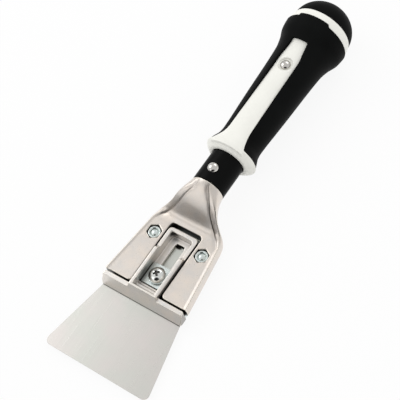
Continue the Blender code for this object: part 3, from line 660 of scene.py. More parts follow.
def grow(name: str, tree: bpy.types.NodeTree, points: Sequence[Point3], values: Dict[str, object],
         edges: Sequence[Tuple[int, int]] = ()) -> Piece:
    """Runs a geometry tree on a few points and keeps what it makes as plain mesh.

    Args:
        name: The object's name.
        tree: The tree.
        points: The points that it starts from.
        values: Values of its inputs by name; they go in by the sockets' identifiers.
        edges: Lines between the points.

    Returns:
        The new object.
    """
    mesh = bpy.data.meshes.new(name)
    mesh.from_pydata(points, edges, [])
    piece = linked(name, mesh)
    modifier = piece.modifiers.new(tree.name, "NODES")
    modifier.node_group = tree
    for item in tree.interface.items_tree:
        if item.item_type == "SOCKET" and item.in_out == "INPUT" and item.name in values:
            modifier[item.identifier] = values[item.name]
    return bake(piece)


@dataclass
class TurnedForm:
    """A node tree that turns a profile about an axis.

    Attributes:
        steps: Segments of a full turn.
        reach: Radius of the circle that the profile is swept along, and set back by.
    """

    steps: int = 96
    reach: float = 5.0

    def __post_init__(self) -> None:
        """Draws the tree: the profile is swept along a circle and closed at the poles."""
        sketch, given = start_form("turned_form", {"Profile": "Geometry", "Segments": "Int"})
        profile = sketch.add("GeometryNodeMeshToCurve", {"Mesh": given["Profile"]})
        circle = sketch.add("GeometryNodeCurvePrimitiveCircle", {
            "Resolution": given["Segments"], "Radius": self.reach})
        swept = sketch.add("GeometryNodeCurveToMesh", {
            "Curve": circle.outputs["Curve"], "Profile Curve": profile.outputs["Curve"]})
        merged = sketch.add("GeometryNodeMergeByDistance", {
            "Geometry": swept.outputs["Mesh"], "Distance": MERGE_DISTANCE})
        self.tree = sketch.deliver(merged.outputs["Geometry"], given["Finish"])

    def make(self, name: str, profile: Sequence[Point2], finish: "Finish",
             steps: Optional[int] = None) -> Piece:
        """Turns a profile about Z.

        Args:
            name: The object's name.
            profile: (radius, height) points in order.
            finish: The finish that the tree sets.
            steps: Segments, if other than the form's own.

        Returns:
            A plain mesh object, the right way up.
        """
        piece = grow(name, self.tree, [(radius - self.reach, height, 0) for radius, height in profile],
                     {"Segments": steps or self.steps, "Finish": finish.material()},
                     [(i, i + 1) for i in range(len(profile) - 1)])
        highest = max(v.co.z for v in piece.data.vertices)
        if abs(highest - max(height for _, height in profile)) > 0.001:
            piece.data.transform(Matrix.Scale(-1, 4, (0, 0, 1)))
        tidy_faces(piece.data)
        return piece


def along_handle(piece: Piece, axis_z: float) -> Piece:
    """Lays a form that was turned about Z along the handle, its height counting towards -X."""
    piece.data.transform(Matrix.Translation((0, 0, axis_z)) @ Matrix.Rotation(-math.pi / 2, 4, "Y"))
    return piece


# Finishes

class Skin(NamedTuple):
    """What a finish feeds to its shader; the bump's depth is in millimetres."""

    colour: Optional[Socket]
    roughness: Socket
    height: Socket
    strength: float
    depth: float


@dataclass(frozen=True)
class Finish:
    """A finish of one kind of surface.

    Attributes:
        name: Name of the material.
        slot: The record's slot that it belongs to; not used.
        colour: Base colour, linear.
        roughness: Middle roughness.
        metallic: Metallic value.
        specular: Strength of the shine of what is not metal.
    """

    name: str = "finish"
    slot: Slot = Slot.CASTING
    colour: Colour = (0.5, 0.5, 0.5)
    roughness: float = 0.4
    metallic: float = 0.0
    specular: float = 0.5

    def material(self) -> bpy.types.Material:
        """Finds the material, or makes it on first use.

        Returns:
            The material.
        """
        found = bpy.data.materials.get(self.name)
        if found is not None:
            return found
        made = bpy.data.materials.new(self.name)
        made.use_nodes = True
        made.diffuse_color = (*self.colour, 1.0)
        inputs = made.node_tree.nodes["Principled BSDF"].inputs
        for label, value in (("Base Color", (*self.colour, 1.0)), ("Roughness", self.roughness),
                             ("Metallic", self.metallic), ("Specular IOR Level", self.specular)):
            inputs[label].default_value = value
        sketch = Sketch(made.node_tree)
        skin = self.dress(sketch)
        bump = sketch.add("ShaderNodeBump", {
            "Strength": skin.strength, "Distance": skin.depth * METRE, "Height": skin.height})
        for label, value in (("Base Color", skin.colour), ("Roughness", skin.roughness),
                             ("Normal", bump.outputs["Normal"])):
            if value is not None:
                made.node_tree.links.new(value, inputs[label])
        return made

    def dress(self, sketch: Sketch) -> Skin:
        """Draws this finish's own pattern.

        Args:
            sketch: The material's tree.

        Returns:
            What goes to the shader.
        """
        raise NotImplementedError

    def tone(self, *by: float) -> Colour:
        """The base colour times one factor, or times one for each channel."""
        return tuple(c * s for c, s in zip(self.colour, by * 3))

    def gloss(self, sketch: Sketch, value: Socket, less: float, more: float, start: float = 0.3,
              end: float = 0.7) -> Socket:
        """Roughness that follows a value, from a little less than the middle to a little more."""
        return sketch.ramp(value, self.roughness - less, self.roughness + more, start, end)


@dataclass(frozen=True)
class CastZinc(Finish):
    """Blasted die-cast metal: warm silver, with edges lightened for wear and a painted highlight, and
    painted shade in its creases, recesses and gaps.
    """

    name: str = "cast_zinc"
    slot: Slot = Slot.CASTING
    colour: Colour = (0.66, 0.61, 0.56)
    roughness: float = 0.33
    metallic: float = 0.92
    # Light cream of the sharpest outward edges: wear, and a painted highlight.
    wear_and_highlight: Colour = (0.86, 0.81, 0.72)
    # Painted shade in the inward creases.
    crease: Colour = (0.30, 0.27, 0.24)
    # Near-black painted shade in recesses, gaps and creases.
    grease: Colour = (0.012, 0.011, 0.009)

    def dress(self, sketch: Sketch) -> Skin:
        """Mottles the cast skin, lightens its edges for wear and a painted highlight, and paints shade into
        its creases, recesses and gaps.

        Args:
            sketch: The material's tree.

        Returns:
            What goes to the shader.
        """
        cloud = sketch.ramp(sketch.grain(9.0, detail=4.0), 0.0, 1.0)
        body = sketch.tint(cloud, self.tone(0.93, 0.955, 0.985), self.tone(1.05, 1.02, 0.99))
        bend = sketch.noted("bend")
        # Outward bends get wear and a painted highlight, inward bends painted shade; the noted values add
        # painted shade in recesses and gaps.
        wear_and_highlight = sketch.ramp(bend, 0.0, 0.75, start=0.30, end=0.85)
        crease_shade_mask = sketch.ramp(sketch.maths("MULTIPLY", bend, -1.0), 0.0, 0.85, start=0.25, end=0.80)
        for share, colour in ((wear_and_highlight, self.wear_and_highlight), (crease_shade_mask, self.crease),
                              (sketch.noted("grease"), self.grease)):
            body = sketch.tint(share, body, colour)
        pits = sketch.grain(0.55, detail=4.0)
        rough = sketch.maths("SUBTRACT", self.gloss(sketch, pits, 0.07, 0.09),
                             sketch.maths("MULTIPLY", wear_and_highlight, 0.12))
        height = sketch.maths("ADD", pits, sketch.grain(0.22, detail=2.0))
        return Skin(body, rough, height, strength=0.22, depth=0.06)


@dataclass(frozen=True)
class GroundSteel(Finish):
    """Fine ground spring steel with faint lengthwise lines and a slow play of tint.

    Attributes:
        grease: Colour of the painted shade in the gaps beside and behind the tongue and at the slot's end.
        unshaded_half: Half width beside the tongue within which no painted shade falls.
        unshaded_rear: Where the painted shade behind the tongue starts to end.
        covered_to: Where the casting and the slider's bar stop covering the blade.
        edge_blur: Width over which each of these three turns.
        slot_shadow_place: Middle of the painted shadow at the slot's end.
        slot_shadow_size: Its half sizes.
    """

    name: str = "ground_spring_steel"
    slot: Slot = Slot.SPRING_STEEL
    colour: Colour = (0.61, 0.597, 0.572)
    roughness: float = 0.33
    metallic: float = 0.95
    # Near-black painted shade in the gaps by the tongue and at the slot's end.
    grease: Colour = (0.012, 0.011, 0.009)
    unshaded_half: float = 10.2
    unshaded_rear: float = -8.2
    covered_to: float = 35.0
    edge_blur: float = 0.4
    slot_shadow_place: Point3 = (-0.7, -1.4, 3.5)
    slot_shadow_size: Point3 = (1.3, 2.3, 1.0)

    def dress(self, sketch: Sketch) -> Skin:
        """Draws the grinding lines and the tint, a greenish painted shade where the casting and the bar
        cover the blade, and near-black painted shade beside and behind the tongue and at the slot's end.

        Args:
            sketch: The material's tree.

        Returns:
            What goes to the shader.
        """
        lines = sketch.grain(0.28, stretch=(160, 1, 1))
        tint = sketch.ramp(sketch.grain(26.0, detail=2.0), 0.0, 1.0, start=0.35, end=0.65)
        body = sketch.tint(tint, self.tone(1.02, 0.985, 0.985), self.tone(0.965, 0.99, 0.965))
        body = sketch.tint(sketch.ramp(lines, 0.0, 0.16), body, self.tone(0.72))
        place = sketch.add("ShaderNodeTexCoord").outputs["Object"]
        along, across, _ = sketch.add("ShaderNodeSeparateXYZ", {0: place}).outputs

        def turning(value: Socket, low: float, high: float, at: float) -> Socket:
            """A level that turns from low to high just past a place."""
            return sketch.ramp(value, low, high, at * METRE, (at + self.edge_blur) * METRE)

        # Painted shade in the gaps beside and behind the tongue, under the covering parts only.
        beside = turning(sketch.maths("ABSOLUTE", across), 0.0, 1.0, self.unshaded_half)
        behind = turning(along, 1.0, 0.0, self.unshaded_rear)
        under = turning(along, 1.0, 0.0, self.covered_to)
        # A painted shadow on the blade at the slot's rear end.
        away = sketch.vector("SUBTRACT", place, tuple(c * METRE for c in self.slot_shadow_place))
        away = sketch.vector("DIVIDE", away, tuple(c * METRE for c in self.slot_shadow_size))
        away = sketch.vector("LENGTH", away, output="Value")
        slot_shadow = sketch.ramp(away, 1.0, 0.0, start=0.55, end=1.15)
        # Painted shade, slightly green, where the casting and the bar cover the blade.
        body = sketch.tint(sketch.maths("MULTIPLY", under, 0.75), body, self.tone(0.88, 0.94, 0.91))
        grease = sketch.maths("MULTIPLY", sketch.maths("MAXIMUM", beside, behind), under)
        body = sketch.tint(sketch.maths("MAXIMUM", grease, slot_shadow), body, self.grease)
        return Skin(body, self.gloss(sketch, lines, 0.06, 0.08), lines, strength=0.10, depth=0.02)


@dataclass(frozen=True)
class ZincPlate(Finish):
    """Bright zinc plate, slightly green and cloudy."""

    name: str = "bright_zinc_plate"
    slot: Slot = Slot.PLATED
    colour: Colour = (0.70, 0.735, 0.70)
    roughness: float = 0.24
    metallic: float = 1.0

    def dress(self, sketch: Sketch) -> Skin:
        """Clouds the plate and paints shade into its creases.

        Args:
            sketch: The material's tree.

        Returns:
            What goes to the shader.
        """
        cloud = sketch.ramp(sketch.grain(2.6), 0.0, 1.0)
        body = sketch.tint(cloud, self.tone(0.9), self.tone(0.94, 0.98, 1.02))
        edge = sketch.add("ShaderNodeNewGeometry").outputs["Pointiness"]
        # Painted shade where the surface folds inwards.
        body = sketch.tint(sketch.ramp(edge, 0.7, 0.0, start=0.40, end=0.48), body, self.tone(0.35))
        fine = sketch.grain(0.3)
        return Skin(body, self.gloss(sketch, fine, 0.06, 0.08), fine, strength=0.08, depth=0.02)


@dataclass(frozen=True)
class PolishedSteel(Finish):
    """Tumbled bright steel of the rivets and the clamp screw."""

    name: str = "polished_steel"
    slot: Slot = Slot.RIVET
    colour: Colour = (0.60, 0.58, 0.55)
    roughness: float = 0.13
    metallic: float = 1.0
    # Colour of the painted shade in a recess.
    grease: Colour = (0.10, 0.095, 0.09)

    def dress(self, sketch: Sketch) -> Skin:
        """Adds the small dents and haze of tumbling, and painted shade in a recess.

        Args:
            sketch: The material's tree.

        Returns:
            What goes to the shader.
        """
        haze = sketch.grain(0.9)
        body = sketch.tint(sketch.noted("grease"), self.colour, self.grease)
        return Skin(body, self.gloss(sketch, haze, 0.04, 0.07), haze, strength=0.06, depth=0.03)


@dataclass(frozen=True)
class CoatedTube(Finish):
    """Black coating over steel tube, with a faint orange peel."""

    name: str = "black_coated_tube"
    slot: Slot = Slot.TUBE
    colour: Colour = (0.0045, 0.0047, 0.0046)
    roughness: float = 0.34
    specular: float = 0.04

    def dress(self, sketch: Sketch) -> Skin:
        """Adds the orange peel and a little unevenness of gloss."""
        rough = self.gloss(sketch, sketch.grain(5.0), 0.05, 0.08)
        return Skin(None, rough, sketch.grain(0.8, detail=2.0), strength=0.12, depth=0.03)


@dataclass(frozen=True)
class WhiteMoulding(Finish):
    """Warm white moulded plastic."""

    name: str = "white_moulding"
    slot: Slot = Slot.WHITE
    colour: Colour = (0.86, 0.855, 0.80)
    roughness: float = 0.42

    def dress(self, sketch: Sketch) -> Skin:
        """Adds slow tone changes and a faint moulded skin."""
        cloud, skin = sketch.ramp(sketch.grain(14.0), 0.0, 1.0), sketch.grain(0.45)
        return Skin(sketch.tint(cloud, self.tone(0.965), self.colour),
                    self.gloss(sketch, skin, 0.05, 0.07), skin, strength=0.06, depth=0.03)


@dataclass(frozen=True)
class SoftRubber(Finish):
    """Black soft overmoulding with a fine matte stipple."""

    name: str = "black_soft_rubber"
    slot: Slot = Slot.RUBBER
    colour: Colour = (0.0034, 0.0037, 0.0036)
    roughness: float = 0.56
    specular: float = 0.03

    def dress(self, sketch: Sketch) -> Skin:
        """Adds the stipple and faint rubbed patches."""
        rubbed, stipple = sketch.ramp(sketch.grain(18.0), 0.0, 1.0), sketch.grain(0.35, detail=2.0)
        return Skin(sketch.tint(rubbed, self.colour, self.tone(1.6)),
                    self.gloss(sketch, rubbed, 0.06, 0.05, 0.0, 1.0), stipple, strength=0.25, depth=0.05)


# Sub-assemblies

@dataclass
class CastHead:
    """The casting from the round neck, through the scooped and beaded shoulders, to the wings.

    Tables run over the share of the way from the neck to the shoulders. Those that end at 0 and 1
    lead from the neck's measure to the wings'; the dome's gives degrees over the section's units.
    """

    finish: Finish = field(default_factory=CastZinc)
    neck_x: float = -36.0
    neck_radius: float = 10.85
    axis_z: float = 21.9
    shoulder_x: float = -8.0
    shoulder_width: float = 49.4
    front_x: float = 34.2
    front_width: float = 59.6
    underside: float = 3.8
    wing_top: float = 11.9
    waist_height: float = 3.2
    tuck: float = 1.6
    bead_height: float = 0.6
    neck_crest: float = 30.27
    neck_bead: float = 0.28
    neck_crease: float = 0.22
    bead_crease: float = 0.22
    crease_at: Point2 = (3.9, 0.34)
    neck_bead_at: Point2 = (5.8, 0.9)
    # Strength of the painted crease shade on the left and on the right.
    crease_shade_sides: Point2 = (0.0, 0.9)
    crease_end: Point2 = (-12.0, -4.0)
    tube_share: float = 0.08
    scoop_power: float = 2.5
    bead_power: float = 1.9
    flank_ease: float = 0.3
    # Depth, width and run of the painted crease shade.
    shade_depth: float = 3.0
    shade_width: Point2 = (0.3, 0.5)
    shade_run: Point3 = (0.15, 0.92, 0.25)
    shade_past: float = 0.3
    nut_reach: float = 0.625
    spigot_length: float = 23.0
    spigot_radius: float = 8.95
    channel_rear_x: float = -10.7
    channel_width: float = 22.8
    channel_corner: float = 2.8
    mouth_corner: float = 2.3
    bolt_spacing: float = 34.8
    bolt_hole: float = 5.6
    nut_pocket: float = 8.6
    nut_pocket_floor: float = 6.6
    grain: float = 0.25
    width_table: Table = at_stations(0.0, 0.036, 0.098, 0.173, 0.275, 0.397, 0.607, 0.835, 0.942, 1.0)
    waist_table: Table = at_stations(0.0, -0.09, -0.155, -0.16, -0.075, 0.125, 0.42, 0.725, 0.935, 1.0)
    crest_table: Table = at_stations(0.0, 0.032, 0.094, 0.198, 0.347, 0.536, 0.744, 0.921, 0.986, 1.0)
    crest_inset: Table = at_stations(4.9, 4.3, 3.1, 2.35, 2.1, 2.1, 2.55, 2.75, 1.9, 0.8)
    bead_reach: Table = at_stations(2.6, 2.7, 2.9, 3.05, 3.05, 2.8, 2.5, 2.5, 1.7, 1.0)
    bead_rise: Table = ((0.0, 0.3), (0.214, 0.35), (0.429, 0.45), (0.536, 0.55), (0.643, 0.75),
                        (0.75, 0.8), (0.857, 0.7), (1.0, 0.4))
    drop_table: Table = ((0.0, 0.0), (0.054, 0.026), (0.107, 0.062), (0.161, 0.108), (0.214, 0.161),
                         (0.272, 0.218), (0.329, 0.281), (0.386, 0.35), (0.443, 0.424), (0.501, 0.506),
                         (0.555, 0.595), (0.609, 0.693), (0.662, 0.794), (0.716, 0.885), (0.77, 0.95),
                         (0.823, 0.981), (0.877, 0.994), (0.948, 1.0), (1.0, 1.0))
    belly_table: Table = at_stations(0.0, -0.06, -0.13, -0.145, -0.08, 0.117, 0.448, 0.793, 0.959, 1.0)
    round_table: Table = ((0.0, 1.0), (0.107, 0.7), (0.214, 0.32), (0.321, 0.1), (0.429, 0.0), (1.0, 0.0))
    box_table: Table = ((0.0, 0.0), (0.75, 0.0), (0.857, 0.5), (1.0, 1.0))
    flank_table: Table = ((0.0, 2.0), (0.321, 2.0), (0.536, 2.2), (0.643, 2.4), (0.75, 2.6),
                          (0.857, 2.8), (1.0, 3.2))
    bowl_table: Table = ((0.0, 2.0), (0.214, 2.7), (0.429, 3.45), (0.643, 3.9), (1.0, 4.0))
    dome_table: Table = ((0, 0), (2, 10), (4, 20), (6, 37), (8, 55), (10, 73), (12, 90))

    def _share(self, x: float) -> float:
        """Share of the way from the neck to the shoulders."""
        return limited((x - self.neck_x) / (self.shoulder_x - self.neck_x))

    def _half(self, share: float) -> float:
        """Half width on that way."""
        return between(self.neck_radius, self.shoulder_width / 2, self.width_table, share)

    def _crest(self, share: float, wing: float) -> float:
        """Level of the beads' crest on that way, to a level at the wings."""
        return between(self.neck_crest, wing, self.crest_table, share)

    def _section(self, x: float) -> List[Point2]:
        """Half of the section, from the middle of its top round to the middle of its belly.

        The top counts 12 units: 4 over the scoop, 2 over the bead and 6 down the flank.

        Args:
            x: Place along the casting.

        Returns:
            (y, z) points.
        """
        share, forward = self._share(x), limited((x - self.shoulder_x) / (self.front_x - self.shoulder_x))
        half = self._half(share) + (self.front_width - self.shoulder_width) / 2 * forward
        crest_y = half - through(self.crest_inset, share)
        crest_z = self._crest(share, self.wing_top + self.bead_height)
        waist = between(self.axis_z, self.underside + self.waist_height, self.waist_table, share)
        top = between(self.axis_z + self.neck_radius, self.wing_top, self.drop_table, share)
        belly = between(self.axis_z - self.neck_radius, self.underside, self.belly_table, share)
        roundness = through(self.round_table, share)
        power = 2 / (through(self.flank_table, share) - self.flank_ease * forward)
        reach, rise = through(self.bead_reach, share), through(self.bead_rise, share)
        foot, base = crest_y - reach, crest_z - rise

        places = spread(0, 3, 12) + spread(3, 6, 24)[1:]
        places += [6 + 6 * (0.5 - 0.5 * math.cos(math.pi * s)) for s in spread(0, 1, 36)[1:]]
        upper: List[Point2] = []
        dome: List[Point2] = []
        for i in places:
            if i <= 4:
                y, z = foot * i / 4, top + (base - top) * (i / 4) ** self.scoop_power
            elif i <= 6:
                s, p = (i - 4) / 2, self.bead_power
                y, z = foot + reach * s, base + rise * (1 - (1 - s) ** p) ** (1 / p)
            else:
                a = (i - 6) / 6 * math.pi / 2
                y = crest_y + (half - crest_y) * math.sin(a) ** power
                z = waist + (crest_z - waist) * max(math.cos(a), 0) ** power
            upper.append((y, z))
            angle = math.radians(through(self.dome_table, i))
            dome.append((half * math.sin(angle), waist + (top - waist) * math.cos(angle)))
        off_tube, (fade, end) = ease(share / self.tube_share), self.crease_end
        crease = off_tube * (self.neck_crease * roundness + self.bead_crease * (1 - roundness)
                             * (1 - ease((x - fade) / (end - fade))))
        bead = off_tube * self.neck_bead * roundness
        shaped: List[Point2] = []
        for i, (y, z) in zip(places, blend_points(upper, dome, roundness)):
            lift = bead * math.exp(-((i - self.neck_bead_at[0]) / self.neck_bead_at[1]) ** 2)
            lift -= crease * math.exp(-((i - self.crease_at[0]) / self.crease_at[1]) ** 2)
            away = Vector((y, max(z - waist, 0.5))).normalized() if roundness > 0.5 else Vector((0, 1))
            shaped.append((y + away.x * lift, z + away.y * lift))

        power = 2 / through(self.bowl_table, share)
        steps = [math.pi / 2 * (0.5 - 0.5 * math.cos(math.pi * s)) for s in spread(0, 1, 30)]
        bowl = [(half * max(math.cos(a), 0) ** power, waist - (waist - belly) * math.sin(a) ** power)
                for a in steps[1:-1]] + [(0, belly)]
        inner = half - self.tuck
        box = [(inner + self.tuck * math.cos(a), waist - (waist - belly) * math.sin(a))
               for a in spread(0, math.pi / 2, 14)[1:]]
        box += [(inner * s, belly) for s in spread(1, 0, 15)[1:]]
        return shaped + blend_points(bowl, box[:len(bowl)], through(self.box_table, share))

    def _crease_shade(self, point: Vector) -> float:
        """Painted shade in the creases inside the beads, much more of it on the right.

        Args:
            point: A point of the surface.

        Returns:
            The painted shade there, from 0 to 1.
        """
        share = self._share(point.x)
        if not 0 < share < 1 or point.z < self._crest(share, self.wing_top) - self.shade_depth:
            return 0.0
        foot = self._half(share) - through(self.crest_inset, share) - through(self.bead_reach, share)
        (width, wider), (start, end, fade) = self.shade_width, self.shade_run
        near = ease(1.4 - abs(abs(point.y) - foot) / (width + wider * share))
        return near * ease(share / start) * ease((end - share) / fade) * self.crease_shade_sides[point.y > 0]

    def _painted_shade_at(self, point: Vector) -> float:
        """Painted shade on the walls of the channel, of the nut pockets and of the front face, and in the
        creases.

        Args:
            point: A point of the surface.

        Returns:
            The painted shade there, from 0 to 1.
        """
        past, round_nut = self.shade_past, self.nut_pocket * self.nut_reach
        inside = point.x > self.channel_rear_x - past and abs(point.y) < self.channel_width / 2 + past
        inside |= any(math.hypot(point.x, point.y - hand * self.bolt_spacing / 2) < round_nut
                      for hand in SIDES)
        inside |= point.x > self.front_x - 0.12
        # Painted shade: these walls get darker the deeper they lie below the wing's top.
        if inside and point.z > self.underside - 0.4:
            return ease(self.wing_top - point.z - 0.2)
        return self._crease_shade(point)

    def build(self) -> None:
        """Lofts the casting, cuts its channel, pockets and holes, and rounds it."""
        stations = spread(self.neck_x, self.shoulder_x, 70) + spread(self.shoulder_x, self.front_x, 40)[1:]
        rings = []
        for x in stations:
            half = self._section(x)
            rings.append([(x, y, z) for y, z in half] + [(x, -y, z) for y, z in half[-2:0:-1]])
        scale = self.spigot_radius / self.neck_radius
        spigot = [[(x, y * scale, self.axis_z + (z - self.axis_z) * scale) for _, y, z in rings[0]]
                  for x in (self.neck_x - self.spigot_length, self.neck_x)]
        head = skin_through("cast_head", spigot + rings)
        side, mouth, over = self.channel_width / 2, self.mouth_corner, self.wing_top + 4
        right = [(self.front_x - mouth + mouth * math.sin(a), side + mouth * (1 - math.cos(a)))
                 for a in spread(0, math.pi / 2, 8)] + [(self.front_x + 6, side + mouth)]
        outline = ([(x, -y) for x, y in right] + right[::-1]
                   + rounded([(0, side, 0), (self.channel_rear_x, side, self.channel_corner),
                              (self.channel_rear_x, -side, self.channel_corner), (0, -side, 0)])[1:-1])
        cuts = [prism("channel", outline, self.underside - 1, over)]
        for y in (hand * self.bolt_spacing / 2 for hand in SIDES):
            cuts.append(moved(prism("nut_pocket", hexagon(self.nut_pocket), self.nut_pocket_floor, over),
                              y=y))
            cuts.append(post("bolt_hole", (0, y), self.bolt_hole / 2, self.underside - 1, self.wing_top))
        combine(head, cuts)
        cast_round(head, self.grain, 8, 0.5)
        darken(head, self._painted_shade_at)
        measure_bend(head)
        settle(head, self.finish, Body.TOOL, ["head_casting"], sharp=180.0)


@dataclass
class BladeStack:
    """The blade, the plate that clamps it from behind, and the nuts and bolts through both."""

    turned: TurnedForm
    steel: Finish = field(default_factory=GroundSteel)
    plated: Finish = field(default_factory=ZincPlate)
    blade_low: float = 2.9
    blade_thickness: float = 0.6
    edge_x: float = 89.6
    edge_width: float = 76.0
    root_x: float = 32.0
    root_width: float = 52.8
    tail_x: float = -9.0
    tail_width: float = 46.0
    edge_corner: float = 3.6
    tail_corner: float = 4.0
    clamp_x: float = 22.5
    clamp_hole: float = 6.6
    bolt_hole: float = 5.6
    back_front_x: float = 36.0
    back_rear_x: float = -13.0
    back_shoulder_x: float = -6.0
    back_widths: Point3 = (55.0, 45.0, 34.0)
    back_corner: float = 3.0
    back_thickness: float = 2.6
    bolt_spacing: float = 34.8
    bolt_thread: float = 5.0
    bolt_pitch: float = 0.8
    thread_depth: float = 0.38
    bolt_head: float = 9.4
    recess_length: float = 5.0
    recess_width: float = 1.1
    recess_floor: float = 1.6
    recess_taper: float = 0.35
    nut_flats: float = 8.0
    nut_height: float = 4.0
    nut_low: float = 6.9
    nut_chamfer: float = 0.8
    bore_mouth: float = 0.5
    bolt_chamfer: float = 0.8

    @property
    def bolt_places(self) -> List[float]:
        """Places of the two bolts across the tool."""
        return [hand * self.bolt_spacing / 2 for hand in SIDES]

    def _blade(self) -> None:
        """The trapezoid blade with its holes and softly broken edges."""
        blade = prism("ground_blade", two_sided([
            (self.tail_x, self.tail_width / 2, self.tail_corner), (self.root_x, self.root_width / 2, 0),
            (self.edge_x, self.edge_width / 2, self.edge_corner)], 12),
            self.blade_low, self.blade_low + self.blade_thickness)
        holes = [((0, y), self.bolt_hole) for y in self.bolt_places] + [((self.clamp_x, 0), self.clamp_hole)]
        combine(blade, [post("hole", place, width / 2, self.blade_low - 1, self.blade_low + 2)
                        for place, width in holes])
        soften(blade, 0.12, 2)
        settle(blade, self.steel, Body.TOOL, ["blade"], sharp=12.0)

    def _back_plate(self) -> None:
        """The plate behind the blade, countersunk for the bolts and tapped for the clamp screw."""
        places = (self.back_front_x, self.back_shoulder_x, self.back_rear_x)
        plate = prism("plated_back", two_sided([
            (x, width / 2, self.back_corner) for x, width in zip(places, self.back_widths)][::-1]),
            0, self.back_thickness)
        cone, hole, past = self.bolt_head / 2 + 0.3, self.bolt_hole / 2, 1
        sink = [(0, 4), (hole, 4), (hole, cone - hole + 0.3), (cone, 0.3), (cone, -past), (0, -past)]
        combine(plate, [post("tapped", (self.clamp_x, 0), self.clamp_hole / 2, -past,
                             self.back_thickness + past)]
                + [moved(self.turned.make("countersink", sink, self.plated, 48), y=y)
                   for y in self.bolt_places])
        soften(plate, 0.5, 3)
        settle(plate, self.plated, Body.TOOL, ["back_plate"], sharp=12.0)

    def _nut_tree(self) -> bpy.types.NodeTree:
        """Draws the tree that chamfers and bores a nut and sets it at each given point.

        Returns:
            The tree.
        """
        sketch, given = start_form("chamfered_nuts", {
            "Places": "Geometry", "Across Flats": "Float", "Height": "Float", "Chamfer": "Float",
            "Bore": "Float", "Bore Mouth": "Float"})
        height, past = given["Height"], 0.001

        def both_ends(form: bpy.types.Node, level: Socket) -> List[Socket]:
            """A form lifted to a level, and the same one turned over.

            Args:
                form: The node that makes it.
                level: How far it is lifted.

            Returns:
                The two forms.
            """
            lift = sketch.add("ShaderNodeCombineXYZ", {"Z": level}).outputs[0]
            raised = sketch.add("GeometryNodeTransform", {
                "Geometry": form.outputs["Mesh"], "Translation": lift}).outputs["Geometry"]
            return [sketch.add("GeometryNodeTransform", {
                "Geometry": raised, "Rotation": (turn, 0.0, 0.0)}).outputs["Geometry"]
                for turn in (0.0, math.pi)]

        def meshed(operation: str, first: Socket, others: List[Socket]) -> Socket:
            """Intersects forms, or takes the others from the first.

            Args:
                operation: INTERSECT or DIFFERENCE.
                first: The first form.
                others: The other forms.

            Returns:
                The result.
            """
            node = sketch.add("GeometryNodeMeshBoolean", operation=operation, solver="EXACT")
            sketch.tree.links.new(first, node.inputs["Mesh 1" if operation == "DIFFERENCE" else "Mesh 2"])
            for other in others:
                sketch.tree.links.new(other, node.inputs["Mesh 2"])
            return node.outputs["Mesh"]

        corner = sketch.maths("DIVIDE", given["Across Flats"], 2 * math.cos(math.pi / 6))
        nut = sketch.add("GeometryNodeMeshCylinder", {
            "Vertices": 6, "Radius": corner, "Depth": height}).outputs["Mesh"]
        tall = sketch.maths("ADD", height, given["Chamfer"])
        chamfer = sketch.add("GeometryNodeMeshCone", {
            "Vertices": 48, "Radius Top": sketch.maths("SUBTRACT", corner, given["Chamfer"]),
            "Radius Bottom": sketch.maths("ADD", corner, height), "Depth": tall})
        below_top = sketch.maths("SUBTRACT", sketch.maths("MULTIPLY", height, 0.5), tall)
        for cone in both_ends(chamfer, below_top):
            nut = meshed("INTERSECT", nut, [cone])
        mouth = sketch.maths("MULTIPLY_ADD", given["Bore"], 0.5, given["Bore Mouth"])
        sink = sketch.add("GeometryNodeMeshCone", {
            "Vertices": 40, "Radius Top": 0.05, "Radius Bottom": mouth, "Depth": mouth})
        bore = sketch.add("GeometryNodeMeshCylinder", {
            "Vertices": 40, "Radius": sketch.maths("MULTIPLY", given["Bore"], 0.5),
            "Depth": sketch.maths("MULTIPLY", height, 2.0)})
        sinks = both_ends(sink, sketch.maths("MULTIPLY_ADD", height, -0.5, -past))
        nut = meshed("DIFFERENCE", nut, sinks + [bore.outputs["Mesh"]])
        return sketch.deliver(sketch.copies(given["Places"], nut, turn=math.pi / 6), given["Finish"])

    def _nuts(self) -> None:
        """The two nuts, one at each end of a pair of points."""
        nuts = grow("blade_nuts", self._nut_tree(),
                    [(0, y, self.nut_low + self.nut_height / 2) for y in self.bolt_places],
                    {"Across Flats": self.nut_flats, "Height": self.nut_height,
                     "Chamfer": self.nut_chamfer, "Bore": self.bolt_thread + 0.15,
                     "Bore Mouth": self.bore_mouth, "Finish": self.plated.material()})
        tidy_faces(nuts.data)
        soften(nuts, 0.12, 2)
        settle(nuts, self.plated, Body.TOOL, ["blade_nut_left", "blade_nut_right"], sharp=18.0)

    def _bolts(self) -> None:
        """The two bolts: countersunk heads behind, threaded ends in the nuts."""
        core, head, tip = self.bolt_thread / 2, self.bolt_head / 2, self.nut_low + self.nut_height
        flat, back = core - self.bolt_chamfer, 0.15
        profile = [(0, tip), (flat - 0.25, tip), (flat, tip - 0.08), (core - 0.08, tip - self.bolt_chamfer)]
        height = tip - self.bolt_chamfer - 0.2
        while height > self.nut_low - 0.5:
            profile += [(core - self.thread_depth, height), (core, height - self.bolt_pitch / 2)]
            height -= self.bolt_pitch
        profile += [(core - 0.02, height), (core - 0.02, back + 0.3 + head - core), (head, back + 0.3),
                    (head, back), (0, back)]
        parts = []
        for y in self.bolt_places:
            bolt = moved(self.turned.make("bolt", profile, self.plated, 48), y=y)
            cross = cross_recess(self.recess_length, self.recess_width, -1.0, self.recess_floor, 0.0,
                                 self.recess_taper)
            parts.append(combine(bolt, [moved(bar, y=y) for bar in cross]))
        bolts = gather("blade_bolts", parts)
        settle(bolts, self.plated, Body.TOOL, ["blade_bolt_left", "blade_bolt_right"], sharp=50.0)

    def build(self) -> None:
        """Builds every piece of the stack."""
        self._blade()
        self._back_plate()
        self._nuts()
        self._bolts()


